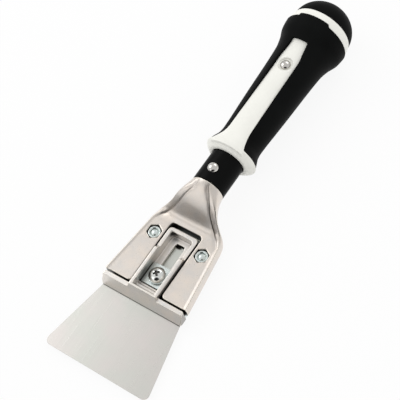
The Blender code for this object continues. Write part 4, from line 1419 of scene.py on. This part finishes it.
def cross_recess(length: float, width: float, low: float, high: float, angle: float,
                 taper: float) -> List[Piece]:
    """Two crossed, tapered bars that cut a cross recess.

    Args:
        length: Length of each bar at its open end.
        width: Width of each bar there.
        low: Level of one end of the bars.
        high: Level of the other end.
        angle: Turn of the cross.
        taper: Share by which the high end is narrower; a negative share narrows the low end.

    Returns:
        The two bars.
    """
    bars = []
    for turn in (angle, angle + math.pi / 2):
        rings = []
        for level, scale in ((low, 1 + min(taper, 0)), (high, 1 - max(taper, 0))):
            half_length, half_width = length / 2 * scale, width / 2 * (0.5 + 0.5 * scale)
            outline = [(-half_length, -half_width), (half_length, -half_width),
                       (half_length, half_width), (-half_length, half_width)]
            rings.append([(x * math.cos(turn) - y * math.sin(turn),
                           x * math.sin(turn) + y * math.cos(turn), level) for x, y in outline])
        bars.append(skin_through("recess_bar", rings))
    return bars


@dataclass
class Stiffener:
    """The cast T-shaped slider: its bar crosses the blade, its tongue runs in the channel."""

    finish: Finish = field(default_factory=lambda: CastZinc(
        name="slider_zinc", colour=(0.72, 0.687, 0.648)))
    low: float = 3.8
    top: float = 11.9
    tongue_width: float = 20.8
    tongue_rear_x: float = -7.9
    tongue_corner: float = 2.6
    bar_rear_x: float = 35.4
    bar_front_x: float = 41.9
    bar_width: float = 58.6
    bar_draft: float = 0.5
    bar_corner: float = 1.8
    bar_slope: Tuple[Point2, ...] = ((42.4, 2.8), (41.9, 3.8), (38.1, 11.9), (36.7, 14.3), (36.1, 15.3))
    bar_rear_corner: float = 1.3
    frame_rear_x: float = 7.0
    frame_ramp: float = 1.8
    frame_raise: float = 2.4
    frame_inset: float = 0.05
    frame_round: float = 0.8
    pocket_rear_x: float = -5.3
    pocket_width: float = 15.8
    pocket_corner: float = 2.0
    pocket_floor: float = 5.8
    front_steps: Tuple[Point2, ...] = ((30.1, 5.8), (30.25, 7.5), (31.8, 7.7), (32.3, 9.4), (34.2, 9.7),
                                       (34.6, 11.6), (35.5, 14.3), (35.8, 15.3))
    slot_slope: float = 0.9
    slot_end_inset: float = 1.0
    slot_rear_x: float = -1.0
    slot_front_x: float = 26.1
    slot_width: float = 6.6
    slot_corner: float = 1.5
    grain: float = 0.22

    def _painted_shade_at(self, point: Vector) -> float:
        """Painted shade on the tongue's sides, at the slot's end, in the pocket and round the bar.

        Args:
            point: A point of the surface.

        Returns:
            The painted shade there, from 0 to 1.
        """
        x, y, z = point
        under_top, half = self.top - 0.3, self.pocket_width / 2
        pocketed = self.pocket_rear_x - 0.4 < x < self.front_steps[1][0] and abs(y) < half + 0.4
        corner = Vector((x - self.pocket_rear_x, (y + half) * 0.6, z - self.top + 2.4)).length
        # Each rule paints shade onto a gap, wall foot or corner that lies in shadow.
        rules = (
            # The tongue's sides and its rear end
            (x < self.bar_rear_x and abs(y) > self.tongue_width / 2 - 0.35, ease(under_top - z)),
            (x < self.tongue_rear_x + 0.6, ease(under_top - z)),
            # The bar's foot, its rear wall and its ends
            (x > self.bar_rear_x, ease((self.low + 0.7 - z) / 0.4)),
            (self.bar_rear_x - 0.1 < x < self.bar_rear_x + 0.2, ease((under_top - z) / 0.7)),
            (x > self.bar_rear_x and abs(y) > self.bar_width / 2 - 0.5, 0.5),
            # The slot's rear end
            (x < self.slot_rear_x + 1.0 and abs(y) < self.slot_width / 2 + 0.2,
             ease((self.pocket_floor - z) / 0.3)),
            # The pocket's left rear corner and its left wall
            (pocketed, ease((3.3 - corner) / 1.8)),
            (pocketed and y < 0.25 - half, 0.8 * ease((x - 2.0) / 26.0) * ease((self.top + 1.4 - z) / 2.5)),
        )
        return max([0.0] + [amount for holds, amount in rules if holds])

    def build(self) -> None:
        """Joins the tongue, the bar and the raised frame, and cuts the pocket and the slot."""
        tongue, bar, front = self.tongue_width / 2, self.bar_width / 2, self.bar_front_x - 1
        frame_top, below, floor = self.top + self.frame_raise, self.low - 1, self.pocket_floor
        body = prism("sliding_stiffener", two_sided([
            (self.tongue_rear_x, tongue, self.tongue_corner), (front, tongue, 0)], 10), self.low, self.top)
        cross = prism("bar", two_sided([
            (self.bar_rear_x, bar, self.bar_rear_corner), (self.bar_front_x, bar, self.bar_corner)], 10),
            self.low, self.top, self.bar_draft)
        raised = side_prism("raised_frame", [
            (self.frame_rear_x, self.top), (self.frame_rear_x, self.top - 1), (front, self.top - 1),
            (front, frame_top), (self.frame_rear_x + self.frame_ramp, frame_top)],
            self.tongue_width - 2 * self.frame_inset)
        soften(raised, self.frame_round, 4, 60.0)
        combine(body, [cross, raised], "UNION")
        past, beyond = frame_top + 1, self.bar_front_x + 6
        slope = side_prism("front_slope", [*self.bar_slope, (beyond, past), (beyond, below)],
                           self.bar_width + 4)
        step_x = self.front_steps[0][0]
        pocket = prism("pocket", two_sided([
            (self.pocket_rear_x, self.pocket_width / 2, self.pocket_corner),
            (step_x, self.pocket_width / 2, 0)]), floor, past)
        ledge = side_prism("ledge", [(step_x - 3, past), (step_x - 3, floor), *self.front_steps],
                           self.pocket_width)
        inside = self.slot_rear_x + 1.6
        slot_end = side_prism("slot_end", [
            (inside, below), (inside, floor + 0.4), (self.slot_rear_x - self.slot_slope, floor + 0.4),
            (self.slot_rear_x, below)], self.slot_width - self.slot_end_inset)
        slot = prism("slot", two_sided([
            (x, self.slot_width / 2, self.slot_corner) for x in (self.slot_rear_x, self.slot_front_x)]),
            below, floor + 1)
        combine(body, [slope, pocket, ledge, slot, slot_end])
        cast_round(body, self.grain, 7, 0.5)
        darken(body, self._painted_shade_at)
        measure_bend(body)
        settle(body, self.finish, Body.STIFFENER, ["stiffener_slider"], sharp=180.0)


@dataclass
class Clamp:
    """The plate, the split washer and the cross-head screw that clamp the stiffener."""

    turned: TurnedForm
    plated: Finish = field(default_factory=ZincPlate)
    polished: Finish = field(default_factory=lambda: PolishedSteel(
        name="plated_screw_steel", slot=Slot.PLATED, colour=(0.74, 0.755, 0.73), roughness=0.12))
    x: float = 22.5
    plate_length: float = 14.4
    plate_width: float = 15.0
    plate_low: float = 6.1
    plate_high: float = 7.5
    plate_corner: float = 0.6
    bore: float = 6.6
    washer_diameter: float = 11.4
    washer_low: float = 7.8
    washer_thickness: float = 1.0
    washer_split: float = 0.8
    washer_rise: float = 0.28
    head_low: float = 9.1
    head_diameter: float = 10.5
    head_height: float = 3.4
    head_rim: float = 0.35
    thread: float = 6.0
    pitch: float = 1.0
    thread_top: float = 4.2
    thread_depth: float = 0.45
    shank_low: float = 0.3
    recess_length: float = 5.4
    recess_width: float = 1.6
    recess_depth: float = 2.1
    recess_taper: float = -0.45

    def _plate(self) -> None:
        """The nearly square plate with its bore."""
        half = self.plate_length / 2
        plate = prism("clamp_pad", two_sided([
            (x, self.plate_width / 2, self.plate_corner) for x in (-half, half)]),
            self.plate_low, self.plate_high)
        combine(plate, [post("bore", (0, 0), self.bore / 2, self.plate_low - 1, self.plate_high + 1)])
        soften(plate, 0.22, 3)
        settle(moved(plate, self.x), self.plated, Body.CLAMP_STACK, ["clamp_plate"], sharp=12.0)

    def _washer_tree(self) -> bpy.types.NodeTree:
        """Draws the tree that sweeps a square wire along one open turn of a helix.

        Returns:
            The tree.
        """
        sketch, given = start_form("split_washer", {
            "Start": "Geometry", "Radius": "Float", "Turns": "Float", "Rise": "Float",
            "Wire Width": "Float", "Wire Height": "Float"})
        helix = sketch.add("GeometryNodeCurveSpiral", {
            "Resolution": 72, "Rotations": given["Turns"], "Start Radius": given["Radius"],
            "End Radius": given["Radius"], "Height": given["Rise"]})
        upright = sketch.add("GeometryNodeSetCurveNormal", {"Curve": helix.outputs["Curve"]}, mode="Z_UP")
        wire = sketch.add("GeometryNodeCurvePrimitiveQuadrilateral", {
            "Width": given["Wire Width"], "Height": given["Wire Height"]})
        swept = sketch.add("GeometryNodeCurveToMesh", {
            "Curve": upright.outputs["Curve"], "Profile Curve": wire.outputs["Curve"], "Fill Caps": True})
        return sketch.deliver(swept.outputs["Mesh"], given["Finish"])

    def _washer(self) -> None:
        """The split washer, one open turn of square wire."""
        inner, outer = self.bore / 2, self.washer_diameter / 2
        middle = (inner + outer) / 2
        washer = grow("split_washer", self._washer_tree(), [(0, 0, 0)], {
            "Radius": middle, "Turns": 1 - self.washer_split / (FULL_TURN * middle),
            "Rise": self.washer_rise, "Wire Width": outer - inner, "Wire Height": self.washer_thickness,
            "Finish": self.plated.material()})
        tidy_faces(washer.data)
        levels = [v.co.z for v in washer.data.vertices]
        lift = self.washer_low + self.washer_thickness / 2 - (min(levels) + max(levels)) / 2
        turn = -math.pi / 4 + self.washer_split / middle / 2
        washer.data.transform(Matrix.Translation((self.x, 0, lift)) @ Matrix.Rotation(turn, 4, "Z"))
        soften(washer, 0.12, 2)
        settle(washer, self.plated, Body.CLAMP_STACK, ["lock_washer"], sharp=25.0)

    def _dome(self, radius: float) -> float:
        """Level of the screw's round head at a distance from its axis.

        Args:
            radius: The distance.

        Returns:
            The level.
        """
        edge, crown = self.head_diameter / 2, self.head_height - self.head_rim
        ball = (edge * edge + crown * crown) / (2 * crown)
        return self.head_low + self.head_height - ball + math.sqrt(ball * ball - min(radius, edge) ** 2)

    def _painted_shade_at(self, point: Vector) -> float:
        """Painted shade in the screw's cross recess, below the dome around it.

        Args:
            point: A point of the screw, about its own axis.

        Returns:
            The painted shade there, from 0 to 1.
        """
        radius = math.hypot(point.x, point.y)
        inside = radius < self.head_diameter * 0.3 and point.z > self.head_low
        return ease((self._dome(radius) - 0.12 - point.z) / 0.5) if inside else 0.0

    def _screw(self) -> None:
        """The pan-head screw with its cross recess and threaded shank."""
        radius, core, height = self.head_diameter / 2, self.thread / 2, self.thread_top
        profile = [(r, self._dome(r)) for r in spread(0, radius, 28)]
        profile += [(radius, self.head_low + 0.25), (radius - 0.25, self.head_low),
                    (core, self.head_low), (core, height)]
        while height > self.shank_low + 0.8:
            profile += [(core - self.thread_depth, height - self.pitch / 2), (core, height - self.pitch)]
            height -= self.pitch
        profile += [(core - 0.5, self.shank_low), (0, self.shank_low)]
        screw = self.turned.make("cross_head_screw", profile, self.polished, 72)
        top = self.head_low + self.head_height
        combine(screw, cross_recess(self.recess_length, self.recess_width, top - self.recess_depth,
                                    top + 0.4, math.pi / 4, self.recess_taper))
        soften(screw, 0.08, 2, 50.0)
        darken(screw, self._painted_shade_at)
        settle(moved(screw, self.x), self.polished, Body.SCREW, ["clamp_screw"], sharp=50.0)

    def build(self) -> None:
        """Builds the three pieces."""
        self._plate()
        self._washer()
        self._screw()


@dataclass
class Grip:
    """The neck tube and the turned grip on it: collar, strip, skin, ring and cap.

    The grip and sink tables run over the skin's length, the others over the length that they name.
    """

    turned: TurnedForm
    tube_finish: Finish = field(default_factory=CoatedTube)
    white: Finish = field(default_factory=WhiteMoulding)
    rubber: Finish = field(default_factory=SoftRubber)
    axis_z: float = 21.9
    tube_radius: float = 10.85
    tube_wall: float = 1.6
    tube_front_x: float = -36.3
    tube_rear_x: float = -150.0
    collar_front_x: float = -58.0
    collar_length: float = 4.6
    collar_lip: float = 0.55
    bulb_radius: float = 21.9
    waist_radius: float = 13.95
    skin_thickness: float = 1.6
    skin_rear_x: float = -160.6
    tab: float = 1.6
    tab_left: float = -25.5
    tab_right: float = 31.0
    tab_slopes: Point2 = (2.4, 0.8)
    tab_clear: Point2 = (3.0, 1.4)
    ring_inner: float = 17.0
    ring_rear_x: float = -167.5
    ring_front_radius: float = 21.6
    ring_rear_radius: float = 20.4
    cap_length: float = 18.2
    cap_plug: Point2 = (12.0, 7.5)
    strip_width: float = 14.5
    strip_rear_x: float = -145.4
    strip_rear_width: float = 11.0
    strip_taper: float = 15.4
    strip_corner: float = 0.9
    mouth_width: float = 22.4
    mouth_length: float = 14.5
    recess_diameter: float = 9.4
    recess_depth: float = 1.6
    rivet_x: float = -127.3
    bore_gap: float = 0.12
    collar_overlap: float = 1.6
    collar_step: float = 0.42
    step_rear_x: float = -66.5
    step_length: float = 5.0
    strip_depth: float = 7.0
    gap: float = 0.3
    seam: float = 0.08
    grain: float = 0.3
    grip_table: Table = ((0.0, 0.378), (0.031, 0.24), (0.073, 0.055), (0.116, 0.0), (0.172, 0.017),
                         (0.326, 0.113), (0.48, 0.198), (0.634, 0.273), (0.788, 0.388), (0.87, 0.601),
                         (0.942, 0.92), (0.98, 0.981), (1.0, 1.0))
    sink_table: Table = ((0.0, -0.042), (0.116, -0.046), (0.172, 0.0), (0.326, 0.335), (0.48, 0.62),
                         (0.634, 0.866), (0.77, 0.96), (0.87, 0.97))
    mouth_table: Table = ((0.0, 1.0), (0.18, 0.72), (0.36, 0.45), (0.6, 0.17), (0.8, 0.05), (1.0, 0.0))
    taper_table: Table = ((0.0, 0.0), (0.12, 0.03), (0.3, 0.22), (0.5, 0.54), (0.7, 0.8), (0.85, 0.94),
                          (1.0, 1.0))
    collar_table: Table = ((0.0, 0.69), (0.03, 0.752), (0.12, 0.795), (0.23, 0.836), (0.39, 0.889),
                           (0.62, 0.955), (0.87, 1.0), (1.0, 0.993))

    @property
    def skin_front_x(self) -> float:
        """Where the skin starts behind the collar."""
        return self.collar_front_x - self.collar_length - self.gap

    @property
    def recess_floor(self) -> float:
        """Level of the floor under the grip's rivet."""
        return self.axis_z + self.strip_radius(self.rivet_x) - self.recess_depth

    def share(self, x: float) -> float:
        """Share of the skin's length at a place along the handle."""
        return (self.skin_front_x - x) / (self.skin_front_x - self.skin_rear_x)

    def radius(self, x: float) -> float:
        """Radius of the skin at a place along the handle."""
        return between(self.waist_radius, self.bulb_radius, self.grip_table, self.share(x))

    def strip_radius(self, x: float) -> float:
        """Radius of the strip's top, which rises to the collar's rim at its front.

        Args:
            x: Place along the handle.

        Returns:
            The radius.
        """
        sunk = (self.skin_thickness + self.gap) * through(self.sink_table, self.share(x))
        step = self.collar_step * ease((x - self.step_rear_x) / self.step_length)
        return self.radius(min(x, self.skin_front_x)) - sunk + step

    def strip_half(self, x: float) -> float:
        """Half width of the strip, which flares to the collar and narrows to its rear end.

        Args:
            x: Place along the handle.

        Returns:
            The half width.
        """
        straight, flare = self.strip_width / 2, self.mouth_length + self.collar_length / 4
        front = self.collar_front_x - self.collar_length * 0.75
        if x > front - flare:
            return between(straight, self.mouth_width / 2, self.mouth_table, (front - x) / flare)
        start = self.strip_rear_x + self.strip_taper
        return between(straight, self.strip_rear_width / 2, self.taper_table,
                       (start - x) / self.strip_taper)

    def rear_edge(self, turn: float) -> float:
        """How far the skin's rear edge runs out at an angle, in degrees from the top towards +Y."""
        right, left = self.tab_slopes
        return self.tab * (ease((self.tab_right + right - turn) / (2 * right))
                           * ease((turn - self.tab_left + left) / (2 * left)))

    def tab_turns(self, steps: int, left_from: float = 0.0) -> List[float]:
        """Angles across the two ends of the tab, in degrees, the left one's counted from an angle."""
        right, left = self.tab_slopes
        return ([self.tab_right + s for s in spread(-right, right, steps)]
                + [left_from + self.tab_left + s for s in spread(-left, left, 4)])

    def rounded_end(self, end_x: float, corner: float) -> List[float]:
        """Places along a rounded rear corner, up to its end."""
        return [end_x + corner * (1 - math.sin(a)) for a in spread(0, math.pi / 2, 6)[1:]]

    def _lathe(self, name: str, profile: Sequence[Point2], finish: Finish, steps: int = 96) -> Piece:
        """Turns a profile of (radius, distance behind the bolts) about the handle's axis."""
        return along_handle(self.turned.make(name, profile, finish, steps), self.axis_z)

    def _tube(self) -> None:
        """The coated tube between the head and the grip."""
        outer, inner = self.tube_radius, self.tube_radius - self.tube_wall
        front, rear = -self.tube_front_x, -self.tube_rear_x
        profile = [(inner, rear), (inner, front), (outer - 0.35, front), (outer - 0.1, front + 0.1),
                   (outer, front + 0.35), (outer, rear), (inner, rear)]
        settle(self._lathe("neck_sleeve", profile, self.tube_finish), self.tube_finish, Body.TOOL,
               ["neck_tube"], sharp=50.0)

    def _collar_and_strip(self) -> None:
        """The white collar that flows into the strip, with the rivet's recess."""
        rim = self.radius(self.skin_front_x) + self.collar_lip
        front, length = -self.collar_front_x, self.collar_length
        bore, above = self.tube_radius + self.bore_gap, self.axis_z + 40
        under_strip = self.axis_z + self.strip_depth
        lip = [(rim * through(self.collar_table, s), front + length * s) for s in spread(0, 1, 40)]
        profile = [(bore, front + 0.25), (bore + 0.25, front)] + lip + [(bore, front + length)]
        collar = self._lathe("collar", profile + [profile[0]], self.white, 128)
        rows = []
        places = spread(self.collar_front_x - self.collar_overlap,
                        self.strip_rear_x + self.strip_corner, 150)
        for x in places + self.rounded_end(self.strip_rear_x, self.strip_corner):
            tuck = max(self.strip_rear_x + self.strip_corner - x, 0)
            half, radius = self.strip_half(x) - corner_loss(self.strip_corner, tuck), self.strip_radius(x)
            rows.append([(x, y, self.axis_z + (radius ** 2 - y ** 2) ** 0.5)
                         for y in spread(-half, half, 24)] + [(x, y, under_strip) for y in (half, 0, -half)])
        strip = skin_through("strip", rows)
        hollow = post("tube_way", (0, 0), bore, -200, 0, 96)
        hollow.data.transform(Matrix.Translation((0, 0, self.axis_z)) @ Matrix.Rotation(
            math.pi / 2, 4, "Y"))
        combine(strip, [hollow, post("rivet_recess", (self.rivet_x, 0), self.recess_diameter / 2,
                                     self.recess_floor, above)])
        white = gather("collar_strip", [collar, strip])
        cast_round(white, self.grain, 11)
        settle(white, self.white, Body.TOOL, ["grip_core"], sharp=180.0)

    def _core(self) -> None:
        """The core under the skin, seen only through its seams."""
        seat, bore = self.skin_thickness + self.gap / 2, self.tube_radius + self.bore_gap
        outer = [(self.radius(x) - seat, -x)
                 for x in spread(self.skin_front_x + 0.2, self.skin_rear_x - 0.1, 60)]
        profile = [(bore, outer[0][1]), *outer, (bore, outer[-1][1]), (bore, outer[0][1])]
        core = self._lathe("core_body", profile, self.white)
        combine(core, [post("recess_way", (self.rivet_x, 0), self.recess_diameter / 2 + 0.4,
                            self.recess_floor - 0.2, self.axis_z + 40)])
        settle(core, self.white, Body.TOOL)

    def _skin(self) -> None:
        """The black skin, open over the strip and with a tab at its rear edge."""
        end_x, corner = self.strip_rear_x - self.seam, self.strip_corner + self.seam
        points: List[Point3] = []

        def window(x: float) -> float:
            """Angle from the top to the window's edge."""
            half = self.strip_half(max(x, self.strip_rear_x)) + self.seam
            return math.asin((half - corner_loss(corner, max(end_x + corner - max(x, end_x), 0)))
                             / self.radius(max(x, end_x)))

        def add(x: float, angle: float, stretch: float = 0.0) -> int:
            """Adds a vertex on the skin.

            Args:
                x: Place along the handle.
                angle: Angle from the top.
                stretch: Share by which it is drawn to where the rear edge runs.

            Returns:
                Its number.
            """
            turn = (math.degrees(angle) + 180) % 360 - 180
            x += (self.skin_rear_x - self.rear_edge(turn) - x) * stretch
            radius = self.radius(x)
            points.append((x, radius * math.sin(angle), self.axis_z + radius * math.cos(angle)))
            return len(points) - 1

        limit = window(end_x)
        open_places = spread(self.skin_front_x, end_x + corner, 110) + self.rounded_end(end_x, corner)
        places = open_places + spread(end_x, self.skin_rear_x + 1.0, 24)[1:]
        stations = [(x, 0.0) for x in places] + [(places[-1], s) for s in (0.25, 0.5, 0.75, 1.0)]
        ends = self.tab_turns(4, 360.0)
        turns = {round(a, 3) for a in spread(math.degrees(limit), 360 - math.degrees(limit), 108)}
        turns = [t for t in turns if all(abs(t - s) > 1.2 for s in ends)] + ends
        shares = [(math.radians(t) - limit) / (FULL_TURN - 2 * limit) for t in sorted(turns)]
        rows, patch = [], []
        for x, stretch in stations:
            edge = window(x)
            rows.append([add(x, edge + (FULL_TURN - 2 * edge) * s, stretch) for s in shares])
        for (x, stretch), row in list(zip(stations, rows))[len(open_places) - 1:]:
            middle = [add(x, a, stretch) for a in spread(-limit, limit, 16)[1:-1]]
            patch.append([row[-1], *middle, row[0]])
        skin = from_points("soft_skin", points, between_rows(rows) + between_rows(patch))
        face = skin.data.polygons[0]
        if face.normal.dot(face.center - Vector((face.center.x, 0, self.axis_z))) < 0:
            skin.data.flip_normals()
        wall = skin.modifiers.new("wall", "SOLIDIFY")
        wall.thickness, wall.offset, wall.use_even_offset = self.skin_thickness, -1, True
        bake(skin)
        soften(skin, 0.42, 3, 50.0)
        settle(skin, self.rubber, Body.TOOL, ["grip_skin"], sharp=60.0)

    def _ring(self) -> None:
        """The white ring behind the skin, notched for its tab."""
        right, left = self.tab_clear
        turns = [t for t in spread(-180, 178, 179)
                 if abs(t - self.tab_right) > right and abs(t - self.tab_left) > left]
        rings = []
        for turn in sorted(turns + self.tab_turns(6)):
            angle = math.radians(turn)
            front, rear = self.skin_rear_x - self.seam * 2 - self.rear_edge(turn), self.ring_rear_x
            loop = [(self.ring_inner, front), (self.ring_front_radius, front),
                    (self.ring_rear_radius, rear), (self.ring_inner, rear)]
            rings.append([(x, r * math.sin(angle), self.axis_z + r * math.cos(angle)) for r, x in loop])
        ring = skin_through("white_ring", rings + [rings[0]], capped=False)
        soften(ring, 0.3, 3, 50.0)
        settle(ring, self.white, Body.TOOL, sharp=60.0)

    def _cap(self) -> None:
        """The domed end cap with its plug."""
        base, radius = -self.ring_rear_x + self.seam, self.ring_rear_radius - 0.15
        plug, depth = self.cap_plug
        profile = [(radius * math.sin(a), base + self.cap_length * math.cos(a))
                   for a in spread(0, math.pi / 2, 36)[:-1]]
        profile += [(radius, base + 0.3), (radius - 0.3, base), (plug, base), (plug, base - depth),
                    (0, base - depth)]
        settle(self._lathe("cap_dome", profile, self.rubber, 128), self.rubber, Body.TOOL, ["end_cap"],
               sharp=50.0)

    def build(self) -> None:
        """Builds the tube and every piece of the grip."""
        self._tube()
        self._collar_and_strip()
        self._core()
        self._skin()
        self._ring()
        self._cap()


@dataclass
class Rivets:
    """The two dome-head rivets, set by one tree."""

    turned: TurnedForm
    grip: Grip
    finish: Finish = field(default_factory=PolishedSteel)
    head: float = 6.8
    dome: float = 2.2
    shank: float = 3.8
    depth: float = 1.4
    neck_place: Point3 = (-45.2, 0.0, 32.9)

    def _tree(self) -> bpy.types.NodeTree:
        """Draws the tree that sets a turned rivet at each given point.

        Returns:
            The tree.
        """
        sketch, given = start_form("dome_rivets", {
            "Places": "Geometry", "Rivet": "Object", "Size": "Float"})
        single = sketch.add("GeometryNodeObjectInfo", {"Object": given["Rivet"]})
        copies = sketch.copies(given["Places"], single.outputs["Geometry"], given["Size"])
        return sketch.deliver(copies, given["Finish"])

    def build(self) -> None:
        """Turns one rivet and sets it in the neck and in the grip's recess."""
        radius, shank, rim = self.head / 2, self.shank / 2, 0.12
        profile = [(radius * math.sin(a), self.dome * math.cos(a)) for a in spread(0, math.pi / 2, 24)[:-1]]
        profile += [(radius, rim), (radius - rim, 0), (shank, 0), (shank, -self.depth), (0, -self.depth)]
        form = self.turned.make("rivet_form", profile, self.finish, 64)
        grip_place = (self.grip.rivet_x, 0, self.grip.recess_floor + 0.1)
        rivets = grow("dome_rivets", self._tree(), [self.neck_place, grip_place],
                      {"Rivet": form, "Size": 1.0, "Finish": self.finish.material()})
        bpy.data.objects.remove(form, do_unlink=True)
        settle(rivets, self.finish, Body.TOOL, ["neck_rivet", "grip_rivet"], sharp=50.0)


# Stage

@dataclass
class Studio:
    """Floor, sky, lamps and camera.

    Attributes:
        place: The camera's place in millimetres.
        right: The camera's right.
        up: The camera's up; not used, as it is worked out from back and right.
        back: The direction from the scene to the camera.
        focus: Focal length in pixels of a square picture of picture_width.
        picture_width: Width of that picture in pixels.
        room_level: Brightness of the room for all that is not metal.
        metal_level: Brightness of the room that metal mirrors.
        gap_level: Brightness of the dark patches in it; gap_ and flag_ fields place these.
        glow_gain: What the bright band in it adds; glow_ fields place it by height.
        sheet_end: Where, in metres along X, the floor that metal mirrors fades out.
        lamps: Name, place, size and power of each lamp, in metres and watts.
    """

    place: Point3 = (207.487, 282.755, 614.066)
    right: Point3 = (-0.5497, 0.8174, -0.1721)
    up: Point3 = (-0.7644, -0.4091, 0.4983)
    back: Point3 = (0.3369, 0.4055, 0.8498)
    focus: float = 1168.955
    picture_width: int = 400
    sensor: float = 36.0
    room_level: float = 0.88
    metal_level: float = 0.80
    gap_level: float = 0.02
    gap_side: Point3 = (1.0, 0.0, 0.0)
    gap_reach: Point2 = (0.45, 0.70)
    gap_low: Point2 = (-0.20, -0.10)
    gap_high: Point2 = (0.09, 0.37)
    flag_side: Point3 = (0.791, 0.352, 0.5)
    flag_edge: Point2 = (0.84, 0.90)
    glow_low: Point2 = (0.16, 0.34)
    glow_high: Point2 = (0.70, 0.88)
    glow_gain: float = 0.65
    sheet_end: Point2 = (0.13, 0.24)
    sheet_glow: float = 1.2
    lamps: Tuple[Tuple[str, Point3, float, float], ...] = (
        ("key_softbox", (-0.05, -0.85, 0.80), 0.7, 2.6),
        ("rear_softbox", (-0.95, -0.10, 0.70), 0.6, 1.5),
    )
    lamp_target: Point3 = (-0.04, 0.0, 0.01)
    floor_half: float = 3.0
    floor_drop: float = 0.0002
    floor_grey: float = 0.86
    floor_glow: float = 0.90

    def camera(self) -> None:
        """Creates the camera at the photograph's viewpoint."""
        data = bpy.data.cameras.new("view_camera")
        data.sensor_width = self.sensor
        data.lens = self.sensor * self.focus / self.picture_width
        data.clip_start, data.clip_end = 0.01, 20.0
        made = linked("view_camera", data)
        back = Vector(self.back).normalized()
        up = back.cross(Vector(self.right).normalized()).normalized()
        matrix = Matrix((up.cross(back), up, back)).transposed().to_4x4()
        matrix.translation = Vector(self.place) * METRE
        made.matrix_world = matrix
        bpy.context.scene.camera = made

    def sky(self) -> None:
        """A white room to the eye; metal sees two dark patches and a brighter band in it.

        One patch lies low behind the blade's edge, the other is a small flag beside the tool, and the
        band is above the first.
        """
        world = bpy.data.worlds.new("studio")
        bpy.context.scene.world = world
        world.use_nodes = True
        world.node_tree.nodes.clear()
        sketch = Sketch(world.node_tree)
        path = sketch.add("ShaderNodeLightPath").outputs
        seen = sketch.maths("MAXIMUM", path["Is Camera Ray"], path["Is Transmission Ray"])
        place = sketch.add("ShaderNodeTexCoord").outputs["Generated"]
        height = sketch.add("ShaderNodeSeparateXYZ", {0: place}).outputs["Z"]

        def towards(side: Point3, edges: Point2) -> Socket:
            """A smooth step that grows towards one side of the room."""
            return sketch.step(sketch.vector("DOT_PRODUCT", place, side, output="Value"), *edges)

        def band(low: Point2, high: Point2) -> Socket:
            """A band of the sky between two soft edges."""
            return sketch.maths("SUBTRACT", sketch.step(height, *low), sketch.step(height, *high))

        ahead = towards(self.gap_side, self.gap_reach)
        gap = sketch.maths("MULTIPLY", band(self.gap_low, self.gap_high), ahead)
        gap = sketch.maths("MAXIMUM", gap, towards(self.flag_side, self.flag_edge))
        glow = sketch.maths("MULTIPLY", band(self.glow_low, self.glow_high), ahead)
        bright = sketch.maths("MULTIPLY_ADD", glow, self.glow_gain, self.metal_level)
        metal = sketch.level(gap, bright, self.gap_level)
        room = sketch.level(path["Is Glossy Ray"], self.room_level, metal)
        light = sketch.add("ShaderNodeBackground", {
            "Color": (1, 1, 1, 1), "Strength": sketch.level(seen, room, 1.0)})
        sketch.add("ShaderNodeOutputWorld", {0: light.outputs[0]})

    def floor(self) -> None:
        """A plain pale floor that keeps a soft shadow, and that metal sees bright near the tool."""
        half = self.floor_half
        mesh = bpy.data.meshes.new("pale_floor")
        mesh.from_pydata([(-half, -half, 0), (half, -half, 0), (half, half, 0), (-half, half, 0)], [],
                         [(0, 1, 2, 3)])
        made = linked("pale_floor", mesh)
        made.location.z = -self.floor_drop
        paint = bpy.data.materials.new("pale_floor")
        paint.use_nodes = True
        paint.node_tree.nodes.clear()
        sketch = Sketch(paint.node_tree)
        path = sketch.add("ShaderNodeLightPath").outputs
        seen = sketch.maths("MAXIMUM", path["Is Camera Ray"], path["Is Transmission Ray"])
        place = sketch.add("ShaderNodeTexCoord").outputs["Object"]
        beyond = sketch.step(sketch.add("ShaderNodeSeparateXYZ", {0: place}).outputs["X"], *self.sheet_end)
        mirrored = sketch.maths("MULTIPLY", path["Is Glossy Ray"], sketch.maths(
            "MULTIPLY_ADD", beyond, -self.sheet_glow, self.sheet_glow))
        matte = sketch.add("ShaderNodeBsdfDiffuse", {"Color": (*[self.floor_grey] * 3, 1)})
        glow = sketch.add("ShaderNodeEmission", {
            "Color": (1, 1, 1, 1), "Strength": sketch.maths("MAXIMUM", seen, mirrored)})
        share = sketch.maths("MULTIPLY", sketch.maths("MAXIMUM", seen, path["Is Glossy Ray"]),
                             self.floor_glow)
        both = sketch.add("ShaderNodeMixShader", {0: share, 1: matte.outputs[0], 2: glow.outputs[0]})
        sketch.add("ShaderNodeOutputMaterial", {0: both.outputs[0]})
        mesh.materials.append(paint)

    def lights(self) -> None:
        """Large soft lamps that face the tool."""
        for name, place, size, power in self.lamps:
            data = bpy.data.lights.new(name, "AREA")
            data.shape, data.size, data.energy = "SQUARE", size, power
            made = linked(name, data)
            made.location = place
            made.rotation_mode = "QUATERNION"
            made.rotation_quaternion = (Vector(self.lamp_target) - Vector(place)).to_track_quat("-Z", "Y")

    def build(self) -> None:
        """Sets the whole stage."""
        bpy.context.scene.view_settings.view_transform = "Standard"
        self.camera()
        self.sky()
        self.floor()
        self.lights()


def main() -> None:
    """Builds every sub-assembly in order."""
    logging.basicConfig(level=logging.INFO, format="%(name)s %(message)s")
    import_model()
    Studio().build()
    turned = TurnedForm()
    grip = Grip(turned)
    for assembly in (CastHead(), BladeStack(turned), Stiffener(), Clamp(turned), grip,
                     Rivets(turned, grip)):
        assembly.build()


if __name__ == "__main__":
    main()
